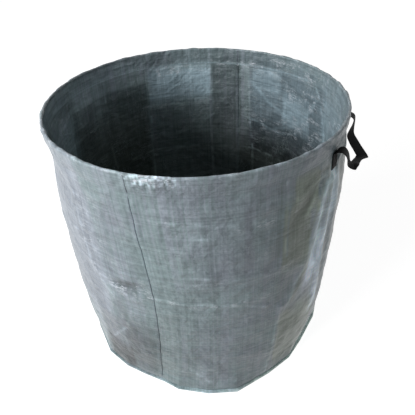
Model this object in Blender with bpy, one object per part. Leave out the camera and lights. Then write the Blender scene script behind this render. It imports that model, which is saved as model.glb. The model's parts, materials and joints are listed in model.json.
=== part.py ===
"""Pop up leaf bag: a round open bag of laminated woven cloth with a sprung hoop in its rim and two webbing handles.

Units are metres, +Z is up, and the origin is the middle of the base's underside. Azimuth 0 is +X, and the front is -Y.
"""

import math

import bmesh
import bpy
from mathutils import Matrix, Vector

# Overall sizes
RIM_DIAMETER = 0.670
BAG_HEIGHT = 0.640
BASE_DIAMETER = 0.672
BELLY_DIAMETER = 0.678
WAIST_INSET = 0.006
BELLY_HEIGHT = 0.300

# Cloth, seams and thread
CLOTH = 0.0006
GAP = 0.0003
HEM_DEPTH = 0.042
HEM_TUCK = 0.008
HEM_STITCH_RISE = 0.005
SEAM_FLANGE = 0.010
LIP = 0.0075
LIP_STITCH_INSET = 0.0035
SIDE_ALLOWANCE = 0.009
SIDE_STITCH_INSET = 0.0045
SIDE_SEAM_FOOT = 0.012
SIDE_SEAM_HEAD = 0.003
THREAD = 0.0007

# Hoop in the rim
HOOP_WIRE = 0.003
HOOP_END_GAP = 0.001
FERRULE_WALL = 0.0005
FERRULE_LENGTH = 0.030

# Webbing handles
WEBBING = 0.0016
WEBBING_WIDTH = 0.025
TAB_LENGTH = 0.032
TAB_BELOW_HEM = 0.008
TAB_ROW_MARGIN = 0.002
HINGE_REACH = 0.021
HINGE_RISE = 0.004
HINGE_ROOM = 0.0004
STUB_RISE = 0.0095
RIGHT_REACH = 0.0305
RIGHT_DROP = 0.0525
LEFT_REACH = 0.018
LEFT_DROP = 0.060
BOX_STITCH_WIDTH = 0.019
BOX_STITCH_LENGTH = 0.022
BOX_STITCH_BAR = 0.0009
BOX_STITCH_THICKNESS = 0.0004

# Counts and angles: a seam lies on a station, and a handle's end in the middle of a facet
STATIONS = 64
FRONT_SEAM = -20
REAR_SEAM = 12
FERRULE_FACET = 24
RIGHT_TABS = (-6.5, -1.5)
LEFT_TABS = (25.5, 30.5)
WIRE_SIDES = 8
LOOP_STEPS = 2

# Outer edge of the base seam: azimuth in degrees, and radius as a share of the base's radius
BASE_OUTLINE_SHARES = (
    (-143, 1.002), (-131, 0.985), (-121, 0.965), (-111, 0.966), (-104, 0.998), (-91, 1.017), (-79, 1.035),
    (-63, 0.990), (-50, 0.985), (-38, 0.966), (-22, 0.987), (-7, 1.017), (12, 1.006), (30, 0.985),
    (48, 0.998), (67, 0.972), (84, 1.015), (102, 1.026), (122, 0.988), (143, 0.976), (165, 1.012),
    (182, 1.004), (200, 0.986),
)

# Heights of the wall's rows as shares of the height of the hem's lower edge
WALL_ROW_SHARES = (0.02, 0.06, 0.12, 0.20, 0.30, 0.42, 0.55, 0.70, 0.84)

# Fold of a handle's sewn end: outwards as shares of the hinge's reach, upwards as shares of the fold's rise
STUB_SHARES = ((0.08, 0.45), (0.25, 0.85), (0.45, 1.0), (0.70, 1.0))

# Right loop, creased as it was packed. Middle of the strap: outwards as a share of the reach, along as a share of the
# half span, downwards as a share of the drop. Then half the strap's width in the same directions, as shares of it.
RIGHT_LOOP_SHARES = (
    (0.00, 1.00, 0.00, 0.00, 1.00, 0.00),
    (0.03, 0.95, 0.19, 0.12, 0.98, 0.08),
    (-0.03, 0.85, 0.40, 0.32, 0.94, 0.08),
    (-0.03, 0.72, 0.59, 0.53, 0.84, 0.08),
    (0.31, 0.52, 0.76, 0.64, 0.77, 0.00),
    (0.68, 0.32, 0.89, 0.71, 0.70, 0.04),
    (1.00, 0.15, 1.00, 0.92, 0.16, 0.08),
    (0.97, 0.06, 0.98, 0.84, -0.32, -0.16),
    (0.81, -0.10, 0.93, 0.61, -0.71, -0.34),
    (0.66, -0.47, 0.76, 0.61, -0.74, -0.31),
    (0.62, -0.70, 0.63, 0.66, -0.72, -0.22),
    (0.56, -0.80, 0.61, 0.58, -0.82, -0.02),
    (0.49, -0.87, 0.59, 0.50, -0.82, 0.27),
    (0.24, -0.93, 0.46, 0.00, -1.00, 0.08),
    (0.13, -0.97, 0.17, 0.00, -1.00, 0.00),
    (0.00, -1.00, 0.00, 0.00, -1.00, 0.00),
)

# Half of the left loop, from one end to its middle, in the same shares
LEFT_HALF_LOOP_SHARES = (
    (0.00, 1.00, 0.00, 0.00, 1.00, 0.00),
    (0.20, 0.97, 0.20, 0.04, 0.99, 0.00),
    (0.40, 0.88, 0.48, 0.30, 0.92, -0.20),
    (0.65, 0.68, 0.76, 0.66, 0.62, -0.38),
    (0.90, 0.36, 0.94, 0.93, 0.20, -0.20),
    (1.00, 0.00, 1.00, 0.99, 0.00, -0.10),
)

# Heights, radii and angles that follow from the sizes
HALF_CLOTH = CLOTH / 2
LAYER = CLOTH + GAP
THREAD_RADIUS = THREAD / 2
RIM_RADIUS = RIM_DIAMETER / 2
BASE_RADIUS = BASE_DIAMETER / 2
BELLY_RADIUS = BELLY_DIAMETER / 2
WAIST_RADIUS = RIM_RADIUS - WAIST_INSET
STEP_ANGLE = 2 * math.pi / STATIONS
FACET_SHARE = math.cos(STEP_ANGLE / 2)
WIRE_FACET_SHARE = math.cos(math.pi / WIRE_SIDES)
FERRULE_BORE = (HOOP_WIRE / 2 + GAP) / WIRE_FACET_SHARE
FERRULE_RADIUS = FERRULE_BORE + FERRULE_WALL
HEM_ARCH = (FERRULE_RADIUS + GAP + HALF_CLOTH) / WIRE_FACET_SHARE
HOOP_RADIUS = RIM_RADIUS - HALF_CLOTH - HEM_ARCH
HOOP_HEIGHT = BAG_HEIGHT - HALF_CLOTH - HEM_ARCH
HEM_BOTTOM = BAG_HEIGHT - HEM_DEPTH
FLOOR_LAYER = HALF_CLOTH
FOOT_LAYER = FLOOR_LAYER + LAYER
LIP_LAYER = FOOT_LAYER + LAYER
TAB_TOP = HEM_BOTTOM - TAB_BELOW_HEM
TAB_BOTTOM = TAB_TOP - TAB_LENGTH
TAB_ROW = TAB_BOTTOM - TAB_ROW_MARGIN
TAB_STANDOFF = HALF_CLOTH + GAP + WEBBING / 2
HINGE_HEIGHT = TAB_TOP + HINGE_RISE
HALF_WIDTH = WEBBING_WIDTH / 2


def clear_scene():
    for item in list(bpy.data.objects):
        bpy.data.objects.remove(item, do_unlink=True)


def material(name, colour, roughness, metallic=0.0):
    made = bpy.data.materials.new(name)
    made.use_nodes = True
    shader = made.node_tree.nodes["Principled BSDF"]
    shader.inputs["Base Color"].default_value = (*colour, 1.0)
    shader.inputs["Roughness"].default_value = roughness
    shader.inputs["Metallic"].default_value = metallic
    return made


def pivot(name, place):
    """An empty that carries the pieces of one moving body."""
    empty = bpy.data.objects.new(name, None)
    bpy.context.collection.objects.link(empty)
    empty.matrix_world = place
    return empty


def finish(name, data, finish_material, parent, smooth=True):
    """Make an object of a mesh or curve whose points are given in its parent's frame."""
    piece = bpy.data.objects.new(name, data)
    bpy.context.collection.objects.link(piece)
    data.materials.append(finish_material)
    piece.parent = parent
    if smooth and isinstance(data, bpy.types.Mesh):
        data.shade_smooth()
        data.set_sharp_from_angle(angle=math.radians(35))
    return piece


def mesh_from(name, points, faces):
    data = bpy.data.meshes.new(name)
    data.from_pydata([tuple(point) for point in points], [], faces)
    data.update()
    return data


def thicken(piece, thickness, offset=0.0):
    modifier = piece.modifiers.new("thickness", "SOLIDIFY")
    modifier.thickness = thickness
    modifier.offset = offset
    modifier.use_even_offset = True
    return piece


def polar(radius, angle, height):
    return Vector((radius * math.cos(angle), radius * math.sin(angle), height))


def grid_faces(rows, columns, skipped=()):
    """Quads of a grid whose points are listed row by row, leaving out the skipped (row, column) cells."""
    faces = []
    for row in range(rows - 1):
        for column in range(columns - 1):
            if (row, column) in skipped:
                continue
            low = row * columns + column
            high = low + columns
            faces.append((low, low + 1, high + 1, high))
    return faces


def outline_radius(angle):
    """Radius of the base seam's outer edge, from the nearest two points of its outline."""
    degrees = (math.degrees(angle) - BASE_OUTLINE_SHARES[0][0]) % 360 + BASE_OUTLINE_SHARES[0][0]
    closed = BASE_OUTLINE_SHARES + ((BASE_OUTLINE_SHARES[0][0] + 360, BASE_OUTLINE_SHARES[0][1]),)
    for (start, start_share), (end, end_share) in zip(closed, closed[1:]):
        if degrees <= end:
            blend = (degrees - start) / (end - start)
            return BASE_RADIUS * (start_share + blend * (end_share - start_share))
    return BASE_RADIUS * closed[-1][1]


def wall_radius(angle, height):
    """Radius of the middle of the wall cloth: out from the foot to the belly, then in to the hem's lower edge."""
    foot = outline_radius(angle) - SEAM_FLANGE
    if height < BELLY_HEIGHT:
        rise = 1 - (1 - height / BELLY_HEIGHT) ** 3
        return foot + rise * (BELLY_RADIUS - foot)
    climb = min((height - BELLY_HEIGHT) / (HEM_BOTTOM - BELLY_HEIGHT), 1.0)
    return BELLY_RADIUS + climb**2 * (WAIST_RADIUS - BELLY_RADIUS)


def panel_angles(first, last):
    """Station angles of one panel, its two end stations moved in by half the room between two cloths."""
    half_room = LAYER / 2 / WAIST_RADIUS
    angles = [station * STEP_ANGLE for station in range(first, last + 1)]
    angles[0] += half_room
    angles[-1] -= half_room
    return angles


def wall_panel(name, first, last, cloth, parent):
    """Half of the wall: its foot turned outwards, and its two side edges turned inwards above the foot."""
    angles = panel_angles(first, last)
    heights = [FOOT_LAYER] + [share * HEM_BOTTOM for share in WALL_ROW_SHARES]
    heights += [TAB_ROW, HEM_BOTTOM - SIDE_SEAM_HEAD, HEM_BOTTOM, HEM_BOTTOM + HEM_TUCK]
    foot_edge = HALF_CLOTH + GAP
    rows = [[polar(outline_radius(angle) - foot_edge, angle, FOOT_LAYER) for angle in angles]]
    for height in heights:
        rows.append([polar(wall_radius(angle, height), angle, height) for angle in angles])
    turned = []
    for row, points in enumerate(rows):
        height = points[0].z
        sides = []
        for point, angle in ((points[0], angles[0]), (points[-1], angles[-1])):
            sides.append(polar(wall_radius(angle, height) - SIDE_ALLOWANCE, angle, height))
        turned.append([sides[0]] + points + [sides[1]])
    columns = len(angles) + 2
    top_row = len(turned) - 1
    skipped = set()
    for row in (0, 1, top_row - 2, top_row - 1):
        skipped |= {(row, 0), (row, columns - 2)}
    points = [point for row in turned for point in row]
    data = mesh_from(name, points, grid_faces(len(turned), columns, skipped))
    drop_loose_points(data)
    return thicken(finish(name, data, cloth, parent), CLOTH)


def drop_loose_points(data):
    shape = bmesh.new()
    shape.from_mesh(data)
    loose = [vertex for vertex in shape.verts if not vertex.link_faces]
    bmesh.ops.delete(shape, geom=loose, context="VERTS")
    shape.to_mesh(data)
    shape.free()


def rim_hem(name, first, last, cloth, parent):
    """Half of the casing: over the hoop in an arch, its two legs closing on the wall's top edge."""
    angles = panel_angles(first, last)
    profile = [(WAIST_RADIUS + LAYER, HEM_BOTTOM)]
    for step in range(WIRE_SIDES // 2 + 1):
        turn = 2 * math.pi * step / WIRE_SIDES
        profile.append((HOOP_RADIUS + HEM_ARCH * math.cos(turn), HOOP_HEIGHT + HEM_ARCH * math.sin(turn)))
    profile.append((WAIST_RADIUS - LAYER, HEM_BOTTOM))
    points = [polar(radius, angle, height) for radius, height in profile for angle in angles]
    data = mesh_from(name, points, grid_faces(len(profile), len(angles)))
    return thicken(finish(name, data, cloth, parent), CLOTH)


def tube(name, points, radius, closed, tube_material, parent, resolution=0):
    """A round bar or thread along a row of points."""
    curve = bpy.data.curves.new(name, "CURVE")
    curve.dimensions = "3D"
    curve.bevel_depth = radius
    curve.bevel_resolution = resolution
    curve.use_fill_caps = not closed
    spline = curve.splines.new("POLY")
    spline.points.add(len(points) - 1)
    for slot, point in zip(spline.points, points):
        slot.co = (*point, 1.0)
    spline.use_cyclic_u = closed
    return finish(name, curve, tube_material, parent)


def ring_points(radius_at, height):
    angles = [station * STEP_ANGLE for station in range(STATIONS)]
    return [polar(radius_at(angle), angle, height) for angle in angles]


def hem_leg_radius(side, height):
    """Radius of the middle of a hem leg at a height, side being 1 outside and -1 inside."""
    climb = (height - HEM_BOTTOM) / (HOOP_HEIGHT - HEM_BOTTOM)
    low = WAIST_RADIUS + side * LAYER
    high = HOOP_RADIUS + side * HEM_ARCH
    return low + climb * (high - low)


def hem_thread(name, side, thread, parent):
    height = HEM_BOTTOM + HEM_STITCH_RISE
    stand_off = HALF_CLOTH + GAP + THREAD_RADIUS
    radius = hem_leg_radius(side, height) + side * stand_off
    return tube(name, ring_points(lambda angle: radius, height), THREAD_RADIUS, True, thread, parent)


def rim_hoop(name, steel, parent):
    """An open ring of wire whose ends meet in the middle of one straight facet."""
    start = polar(HOOP_RADIUS, FERRULE_FACET * STEP_ANGLE, HOOP_HEIGHT)
    end = polar(HOOP_RADIUS, (FERRULE_FACET + 1) * STEP_ANGLE, HOOP_HEIGHT)
    along = (end - start).normalized()
    middle = (start + end) / 2
    points = [middle + along * HOOP_END_GAP / 2]
    for station in range(FERRULE_FACET + 1, FERRULE_FACET + STATIONS + 1):
        points.append(polar(HOOP_RADIUS, station * STEP_ANGLE, HOOP_HEIGHT))
    points.append(middle - along * HOOP_END_GAP / 2)
    return tube(name, points, HOOP_WIRE / 2, False, steel, parent, resolution=2)


def hoop_ferrule(name, steel, parent):
    """The crimped sleeve over the two ends of the hoop."""
    shape = bmesh.new()
    turn = Matrix.Rotation((FERRULE_FACET + 0.5) * STEP_ANGLE, 4, "Z")
    lie_down = Matrix.Rotation(math.pi / 2, 4, "X")
    place = turn @ Matrix.Translation((HOOP_RADIUS * FACET_SHARE, 0, HOOP_HEIGHT)) @ lie_down
    bmesh.ops.create_cone(shape, cap_ends=False, segments=WIRE_SIDES, radius1=FERRULE_RADIUS,
                          radius2=FERRULE_RADIUS, depth=FERRULE_LENGTH, matrix=place)
    data = bpy.data.meshes.new(name)
    shape.to_mesh(data)
    shape.free()
    return thicken(finish(name, data, steel, parent), FERRULE_WALL, offset=-1.0)


def base_panel(name, cloth, parent):
    """The floor of the bag, its edge turned up and folded back in over the wall's foot."""
    angles = [station * STEP_ANGLE for station in range(STATIONS)]
    points = []
    for inset, height in ((0.0, FLOOR_LAYER), (0.0, LIP_LAYER), (LIP, LIP_LAYER)):
        points += [polar(outline_radius(angle) - inset, angle, height) for angle in angles]
    faces = [tuple(reversed(range(STATIONS)))]
    for row in range(2):
        for column in range(STATIONS):
            after = (column + 1) % STATIONS
            low = row * STATIONS
            high = low + STATIONS
            faces.append((low + column, low + after, high + after, high + column))
    return thicken(finish(name, mesh_from(name, points, faces), cloth, parent), CLOTH)


def base_seam_thread(name, thread, parent):
    height = LIP_LAYER + HALF_CLOTH + GAP + THREAD_RADIUS
    points = ring_points(lambda angle: outline_radius(angle) - LIP_STITCH_INSET, height)
    return tube(name, points, THREAD_RADIUS, True, thread, parent)


def side_seam_thread(name, station, thread, parent):
    """The thread beside the two turned-in edges of a side seam, inside the bag."""
    angle = station * STEP_ANGLE
    across = Vector((-math.sin(angle), math.cos(angle), 0))
    stand_off = LAYER / 2 + HALF_CLOTH + GAP + THREAD_RADIUS
    heights = [SIDE_SEAM_FOOT + THREAD] + [share * HEM_BOTTOM for share in WALL_ROW_SHARES[1:]]
    heights += [TAB_ROW, HEM_BOTTOM - SIDE_SEAM_HEAD - THREAD]
    points = []
    for height in heights:
        radius = wall_radius(angle, height) - SIDE_STITCH_INSET
        points.append(polar(radius, angle, height) + across * stand_off)
    return tube(name, points, THREAD_RADIUS, False, thread, parent)


def smooth_row(row, steps):
    """A row of tuples with points added on a smooth curve through them."""
    padded = [row[0], *row, row[-1]]
    made = []
    for before, start, end, after in zip(padded, padded[1:], padded[2:], padded[3:]):
        for step in range(steps):
            share = step / steps
            made.append(tuple(
                0.5 * (2 * b + (c - a) * share + (2 * a - 5 * b + 4 * c - d) * share**2
                       + (3 * b - a - 3 * c + d) * share**3)
                for a, b, c, d in zip(before, start, end, after)
            ))
    made.append(row[-1])
    return made


def ribbon(name, stations, webbing, parent):
    """Webbing through a row of (middle, half width) vectors."""
    points = []
    for middle, half in stations:
        points += [middle + half, middle - half]
    faces = [(2 * index, 2 * index + 1, 2 * index + 3, 2 * index + 2) for index in range(len(stations) - 1)]
    return thicken(finish(name, mesh_from(name, points, faces), webbing, parent), WEBBING)


def facet_point(tab, height, outwards):
    """A point in front of the middle of the wall facet that a handle's end is sewn to."""
    angle = tab * STEP_ANGLE
    return polar(wall_radius(angle, height) * FACET_SHARE + outwards, angle, height)


def hinge_frame(tabs):
    """Frame of a handle: its origin is halfway along the hinge, x outwards, y along the hinge and z up."""
    middle_angle = sum(tabs) / 2 * STEP_ANGLE
    half_angle = (tabs[1] - tabs[0]) / 2 * STEP_ANGLE
    top = facet_point(tabs[0], TAB_TOP, TAB_STANDOFF)
    radius = math.hypot(top.x, top.y)
    centre = polar(radius * math.cos(half_angle) + HINGE_REACH, middle_angle, HINGE_HEIGHT)
    half_span = radius * math.sin(half_angle)
    return Matrix.Translation(centre) @ Matrix.Rotation(middle_angle, 4, "Z"), half_span


def handle_tab(name, tabs, end, webbing, parent):
    """A handle's sewn end: flat on the wall, folded outwards at its top and ending just short of the hinge."""
    frame, half_span = hinge_frame(tabs)
    into_frame = frame.inverted()
    angle = tabs[end] * STEP_ANGLE
    side = (-1, 1)[end]
    flat_half = Vector((-math.sin(angle), math.cos(angle), 0)) * HALF_WIDTH
    hinge_half = frame.to_3x3() @ Vector((0, HALF_WIDTH, 0))
    stations = []
    for height in (TAB_BOTTOM, TAB_TOP):
        stations.append((facet_point(tabs[end], height, TAB_STANDOFF), flat_half))
    top = into_frame @ stations[-1][0]
    for out_share, rise_share in STUB_SHARES:
        local = Vector((top.x * (1 - out_share), top.y, top.z + STUB_RISE * rise_share))
        half = flat_half.lerp(hinge_half, out_share)
        stations.append((frame @ local, half))
    last = into_frame @ stations[-1][0]
    approach = Vector((last.x, 0, last.z)).normalized()
    stop = approach * (WEBBING / 2 + HINGE_ROOM)
    stations.append((frame @ Vector((stop.x, side * half_span, stop.z)), hinge_half))
    return ribbon(name, stations, webbing, parent)


def handle_loop(name, shares, reach, drop, tabs, webbing, parent):
    """The free strap, in the frame of its hinge."""
    half_span = hinge_frame(tabs)[1]
    stations = []
    for out, along, down, half_out, half_along, half_down in smooth_row(shares, LOOP_STEPS):
        middle = Vector((out * reach, along * half_span, -down * drop))
        half = Vector((half_out, half_along, -half_down)).normalized() * HALF_WIDTH
        stations.append((middle, half))
    return ribbon(name, stations, webbing, parent)


def box_stitch(name, tabs, end, thread, parent):
    """Box stitching with a cross in it, on the face of a handle's sewn end."""
    half_width = BOX_STITCH_WIDTH / 2
    half_length = BOX_STITCH_LENGTH / 2
    slope = half_length / half_width
    lift = BOX_STITCH_BAR / 2 * math.hypot(1, slope)
    push = BOX_STITCH_BAR / 2 * math.hypot(1, 1 / slope)
    inner_width = half_width - BOX_STITCH_BAR
    inner_length = half_length - BOX_STITCH_BAR
    loops = [[(-half_width, -half_length), (half_width, -half_length), (half_width, half_length),
              (-half_width, half_length)]]
    for side in (1, -1):
        reach = (inner_length - lift) / slope
        loops.append([(0, side * lift), (reach, side * inner_length), (-reach, side * inner_length)])
        reach = (inner_width - push) * slope
        loops.append([(side * push, 0), (side * inner_width, reach), (side * inner_width, -reach)])
    low = facet_point(tabs[end], TAB_BOTTOM, TAB_STANDOFF)
    high = facet_point(tabs[end], TAB_TOP, TAB_STANDOFF)
    angle = tabs[end] * STEP_ANGLE
    across = Vector((-math.sin(angle), math.cos(angle), 0))
    up = (high - low).normalized()
    out = across.cross(up)
    middle = (low + high) / 2 + out * (WEBBING / 2 + GAP)
    shape = bmesh.new()
    for loop in loops:
        vertices = [shape.verts.new(middle + across * x + up * y) for x, y in loop]
        for first, second in zip(vertices, vertices[1:] + vertices[:1]):
            shape.edges.new((first, second))
    bmesh.ops.triangle_fill(shape, edges=shape.edges[:], use_beauty=True, normal=out)
    data = bpy.data.meshes.new(name)
    shape.to_mesh(data)
    shape.free()
    return thicken(finish(name, data, thread, parent), BOX_STITCH_THICKNESS, offset=1.0)


def main():
    clear_scene()
    cloth = material("laminated_cloth", (0.205, 0.242, 0.258), 0.38)
    inner_cloth = material("base_cloth", (0.185, 0.218, 0.232), 0.42)
    steel = material("spring_steel", (0.42, 0.43, 0.44), 0.35, 1.0)
    webbing = material("black_webbing", (0.012, 0.013, 0.013), 0.75)
    thread = material("grey_thread", (0.10, 0.115, 0.12), 0.6)
    black_thread = material("black_thread", (0.02, 0.02, 0.02), 0.6)

    base = pivot("base_pivot", Matrix())
    rim = pivot("rim_pivot", Matrix())
    rim.parent = base
    base_panel("base_panel", inner_cloth, base)
    base_seam_thread("base_seam_thread", thread, base)
    after_turn = FRONT_SEAM + STATIONS
    wall_panel("wall_panel_front", FRONT_SEAM, REAR_SEAM, cloth, base)
    wall_panel("wall_panel_back", REAR_SEAM, after_turn, cloth, base)
    side_seam_thread("side_seam_thread_front", FRONT_SEAM, thread, base)
    side_seam_thread("side_seam_thread_rear", REAR_SEAM, thread, base)

    rim_hoop("rim_hoop", steel, rim)
    hoop_ferrule("hoop_ferrule", steel, rim)
    rim_hem("rim_hem_front", FRONT_SEAM, REAR_SEAM, cloth, rim)
    rim_hem("rim_hem_back", REAR_SEAM, after_turn, cloth, rim)
    hem_thread("hem_needle_thread", 1, thread, rim)
    hem_thread("hem_bobbin_thread", -1, thread, rim)

    left_shares = list(LEFT_HALF_LOOP_SHARES)
    for out, along, down, half_out, half_along, half_down in reversed(LEFT_HALF_LOOP_SHARES[:-1]):
        left_shares.append((out, -along, down, half_out, -half_along, half_down))
    handles = (
        ("right_handle", RIGHT_TABS, ("front", "rear"), RIGHT_LOOP_SHARES, RIGHT_REACH, RIGHT_DROP),
        ("left_handle", LEFT_TABS, ("rear", "front"), left_shares, LEFT_REACH, LEFT_DROP),
    )
    for name, tabs, ends, shares, reach, drop in handles:
        for end, where in enumerate(ends):
            handle_tab(f"{name}_{where}_tab", tabs, end, webbing, rim)
            box_stitch(f"{name}_{where}_stitching", tabs, end, black_thread, rim)
        hinge = pivot(f"{name}_pivot", hinge_frame(tabs)[0])
        handle_loop(f"{name}_loop", shares, reach, drop, tabs, webbing, hinge)


main()
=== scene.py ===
"""Pop up leaf bag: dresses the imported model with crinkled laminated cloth, stitched seams and handles.

Units are metres, +Z is up, and the front is -Y. Azimuths are in degrees from +X. Each Operator makes one
group of pieces.
"""

import json
import math

import bmesh
import bpy
import numpy as np
from mathutils import Matrix, Vector


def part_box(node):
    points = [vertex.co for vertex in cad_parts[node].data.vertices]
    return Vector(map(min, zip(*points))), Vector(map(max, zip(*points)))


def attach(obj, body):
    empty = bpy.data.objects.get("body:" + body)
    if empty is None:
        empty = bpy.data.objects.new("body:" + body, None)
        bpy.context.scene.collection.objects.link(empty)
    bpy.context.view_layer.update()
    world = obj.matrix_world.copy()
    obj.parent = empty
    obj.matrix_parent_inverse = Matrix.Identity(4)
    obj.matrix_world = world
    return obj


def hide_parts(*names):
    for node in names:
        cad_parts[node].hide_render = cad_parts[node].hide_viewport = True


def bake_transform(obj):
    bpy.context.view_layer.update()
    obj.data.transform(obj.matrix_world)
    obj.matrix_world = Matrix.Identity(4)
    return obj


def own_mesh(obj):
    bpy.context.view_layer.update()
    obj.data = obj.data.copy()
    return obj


bl_info = {
    "name": "Pop Up Leaf Bag",
    "version": (1, 0, 0),
    "blender": (4, 5, 0),
    "location": "3D Viewport > Sidebar > Leaf Bag",
    "description": "Makes the cloth, seams, stitches and handles of a pop up leaf bag",
    "category": "Object",
}

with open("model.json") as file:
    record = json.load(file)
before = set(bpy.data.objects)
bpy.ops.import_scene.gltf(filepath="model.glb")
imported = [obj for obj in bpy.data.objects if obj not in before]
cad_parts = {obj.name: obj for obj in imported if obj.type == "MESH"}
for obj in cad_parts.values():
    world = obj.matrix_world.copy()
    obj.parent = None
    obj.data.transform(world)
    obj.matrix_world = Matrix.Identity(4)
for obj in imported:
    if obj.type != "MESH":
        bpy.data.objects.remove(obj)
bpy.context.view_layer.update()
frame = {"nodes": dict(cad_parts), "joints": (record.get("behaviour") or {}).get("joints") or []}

# Sizes of the bag, as in the part's source
RIM_DIAMETER = 0.670
BASE_DIAMETER = 0.672
BELLY_DIAMETER = 0.678
BAG_HEIGHT = 0.640
BELLY_HEIGHT = 0.300
WAIST_INSET = 0.006
CLOTH = 0.0006
GAP = 0.0003
HEM_TUCK = 0.008
HEM_STITCH_RISE = 0.005
SEAM_FLANGE = 0.010
LIP = 0.0075
LIP_STITCH_INSET = 0.0035
SIDE_ALLOWANCE = 0.009
SIDE_STITCH_INSET = 0.0045
THREAD = 0.0007
HOOP_WIRE = 0.003
FERRULE_WALL = 0.0005
WEBBING = 0.0016
WEBBING_WIDTH = 0.025
TAB_LENGTH = 0.032
TAB_BELOW_HEM = 0.008
WALL_FACETS = 64
HINGE_REACH = 0.021
STUB_RISE = 0.0095
RIGHT_REACH = 0.0305
RIGHT_DROP = 0.0525
LEFT_REACH = 0.018
LEFT_DROP = 0.060

# Where the wall folds when the rim goes down, below the handles' sewn ends, and the stitches' room at
# that fold
FOLD_BELOW_TABS = 0.005
STITCH_ROOM = 0.0034

# How far the side seams' allowances lean to one side, in degrees, and the radius of the bend at their
# start
SEAM_LEAN = math.radians(76)
SEAM_BEND = 0.0022

# Azimuths of the side seams and of each handle's two sewn ends, the lower azimuth first
FRONT_SEAM = -112.5
REAR_SEAM = 67.5
RIGHT_TABS = (-36.5625, -8.4375)
LEFT_TABS = (143.4375, 171.5625)
PANELS = (("front", FRONT_SEAM, REAR_SEAM), ("back", REAR_SEAM, FRONT_SEAM + 360))

# Outer edge of the base seam: azimuth, and radius as a share of the base's radius
BASE_OUTLINE_SHARES = (
    (-143, 1.002), (-131, 0.985), (-121, 0.965), (-111, 0.966), (-104, 0.998), (-91, 1.017), (-79, 1.035),
    (-63, 0.99), (-50, 0.985), (-38, 0.966), (-22, 0.987), (-7, 1.017), (12, 1.006), (30, 0.985),
    (48, 0.998), (67, 0.972), (84, 1.015), (102, 1.026), (122, 0.988), (143, 0.976), (165, 1.012),
    (182, 1.004), (200, 0.986),
)

# Fold of a handle's sewn end: outwards as shares of the hinge's reach, upwards as shares of the fold's
# rise
STUB_SHARES = (
    (0.08, 0.45), (0.25, 0.85), (0.45, 1.0), (0.7, 1.0),
)

# Loops, as in the part's source: middle of the strap outwards, along and downwards, then half its width
RIGHT_LOOP_SHARES = (
    (0.0, 1.0, 0.0, 0.0, 1.0, 0.0), (0.03, 0.95, 0.19, 0.12, 0.98, 0.08),
    (-0.03, 0.85, 0.4, 0.32, 0.94, 0.08), (-0.03, 0.72, 0.59, 0.53, 0.84, 0.08),
    (0.31, 0.52, 0.76, 0.64, 0.77, 0.0), (0.68, 0.32, 0.89, 0.71, 0.7, 0.04),
    (1.0, 0.15, 1.0, 0.92, 0.16, 0.08), (0.97, 0.06, 0.98, 0.84, -0.32, -0.16),
    (0.81, -0.1, 0.93, 0.61, -0.71, -0.34), (0.66, -0.47, 0.76, 0.61, -0.74, -0.31),
    (0.62, -0.7, 0.63, 0.66, -0.72, -0.22), (0.56, -0.8, 0.61, 0.58, -0.82, -0.02),
    (0.49, -0.87, 0.59, 0.5, -0.82, 0.27), (0.24, -0.93, 0.46, 0.0, -1.0, 0.08),
    (0.13, -0.97, 0.17, 0.0, -1.0, 0.0), (0.0, -1.0, 0.0, 0.0, -1.0, 0.0),
)
LEFT_HALF_LOOP_SHARES = (
    (0.0, 1.0, 0.0, 0.0, 1.0, 0.0), (0.2, 0.97, 0.2, 0.04, 0.99, 0.0), (0.4, 0.88, 0.48, 0.3, 0.92, -0.2),
    (0.65, 0.68, 0.76, 0.66, 0.62, -0.38), (0.9, 0.36, 0.94, 0.93, 0.2, -0.2),
    (1.0, 0.0, 1.0, 0.99, 0.0, -0.1),
)

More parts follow.
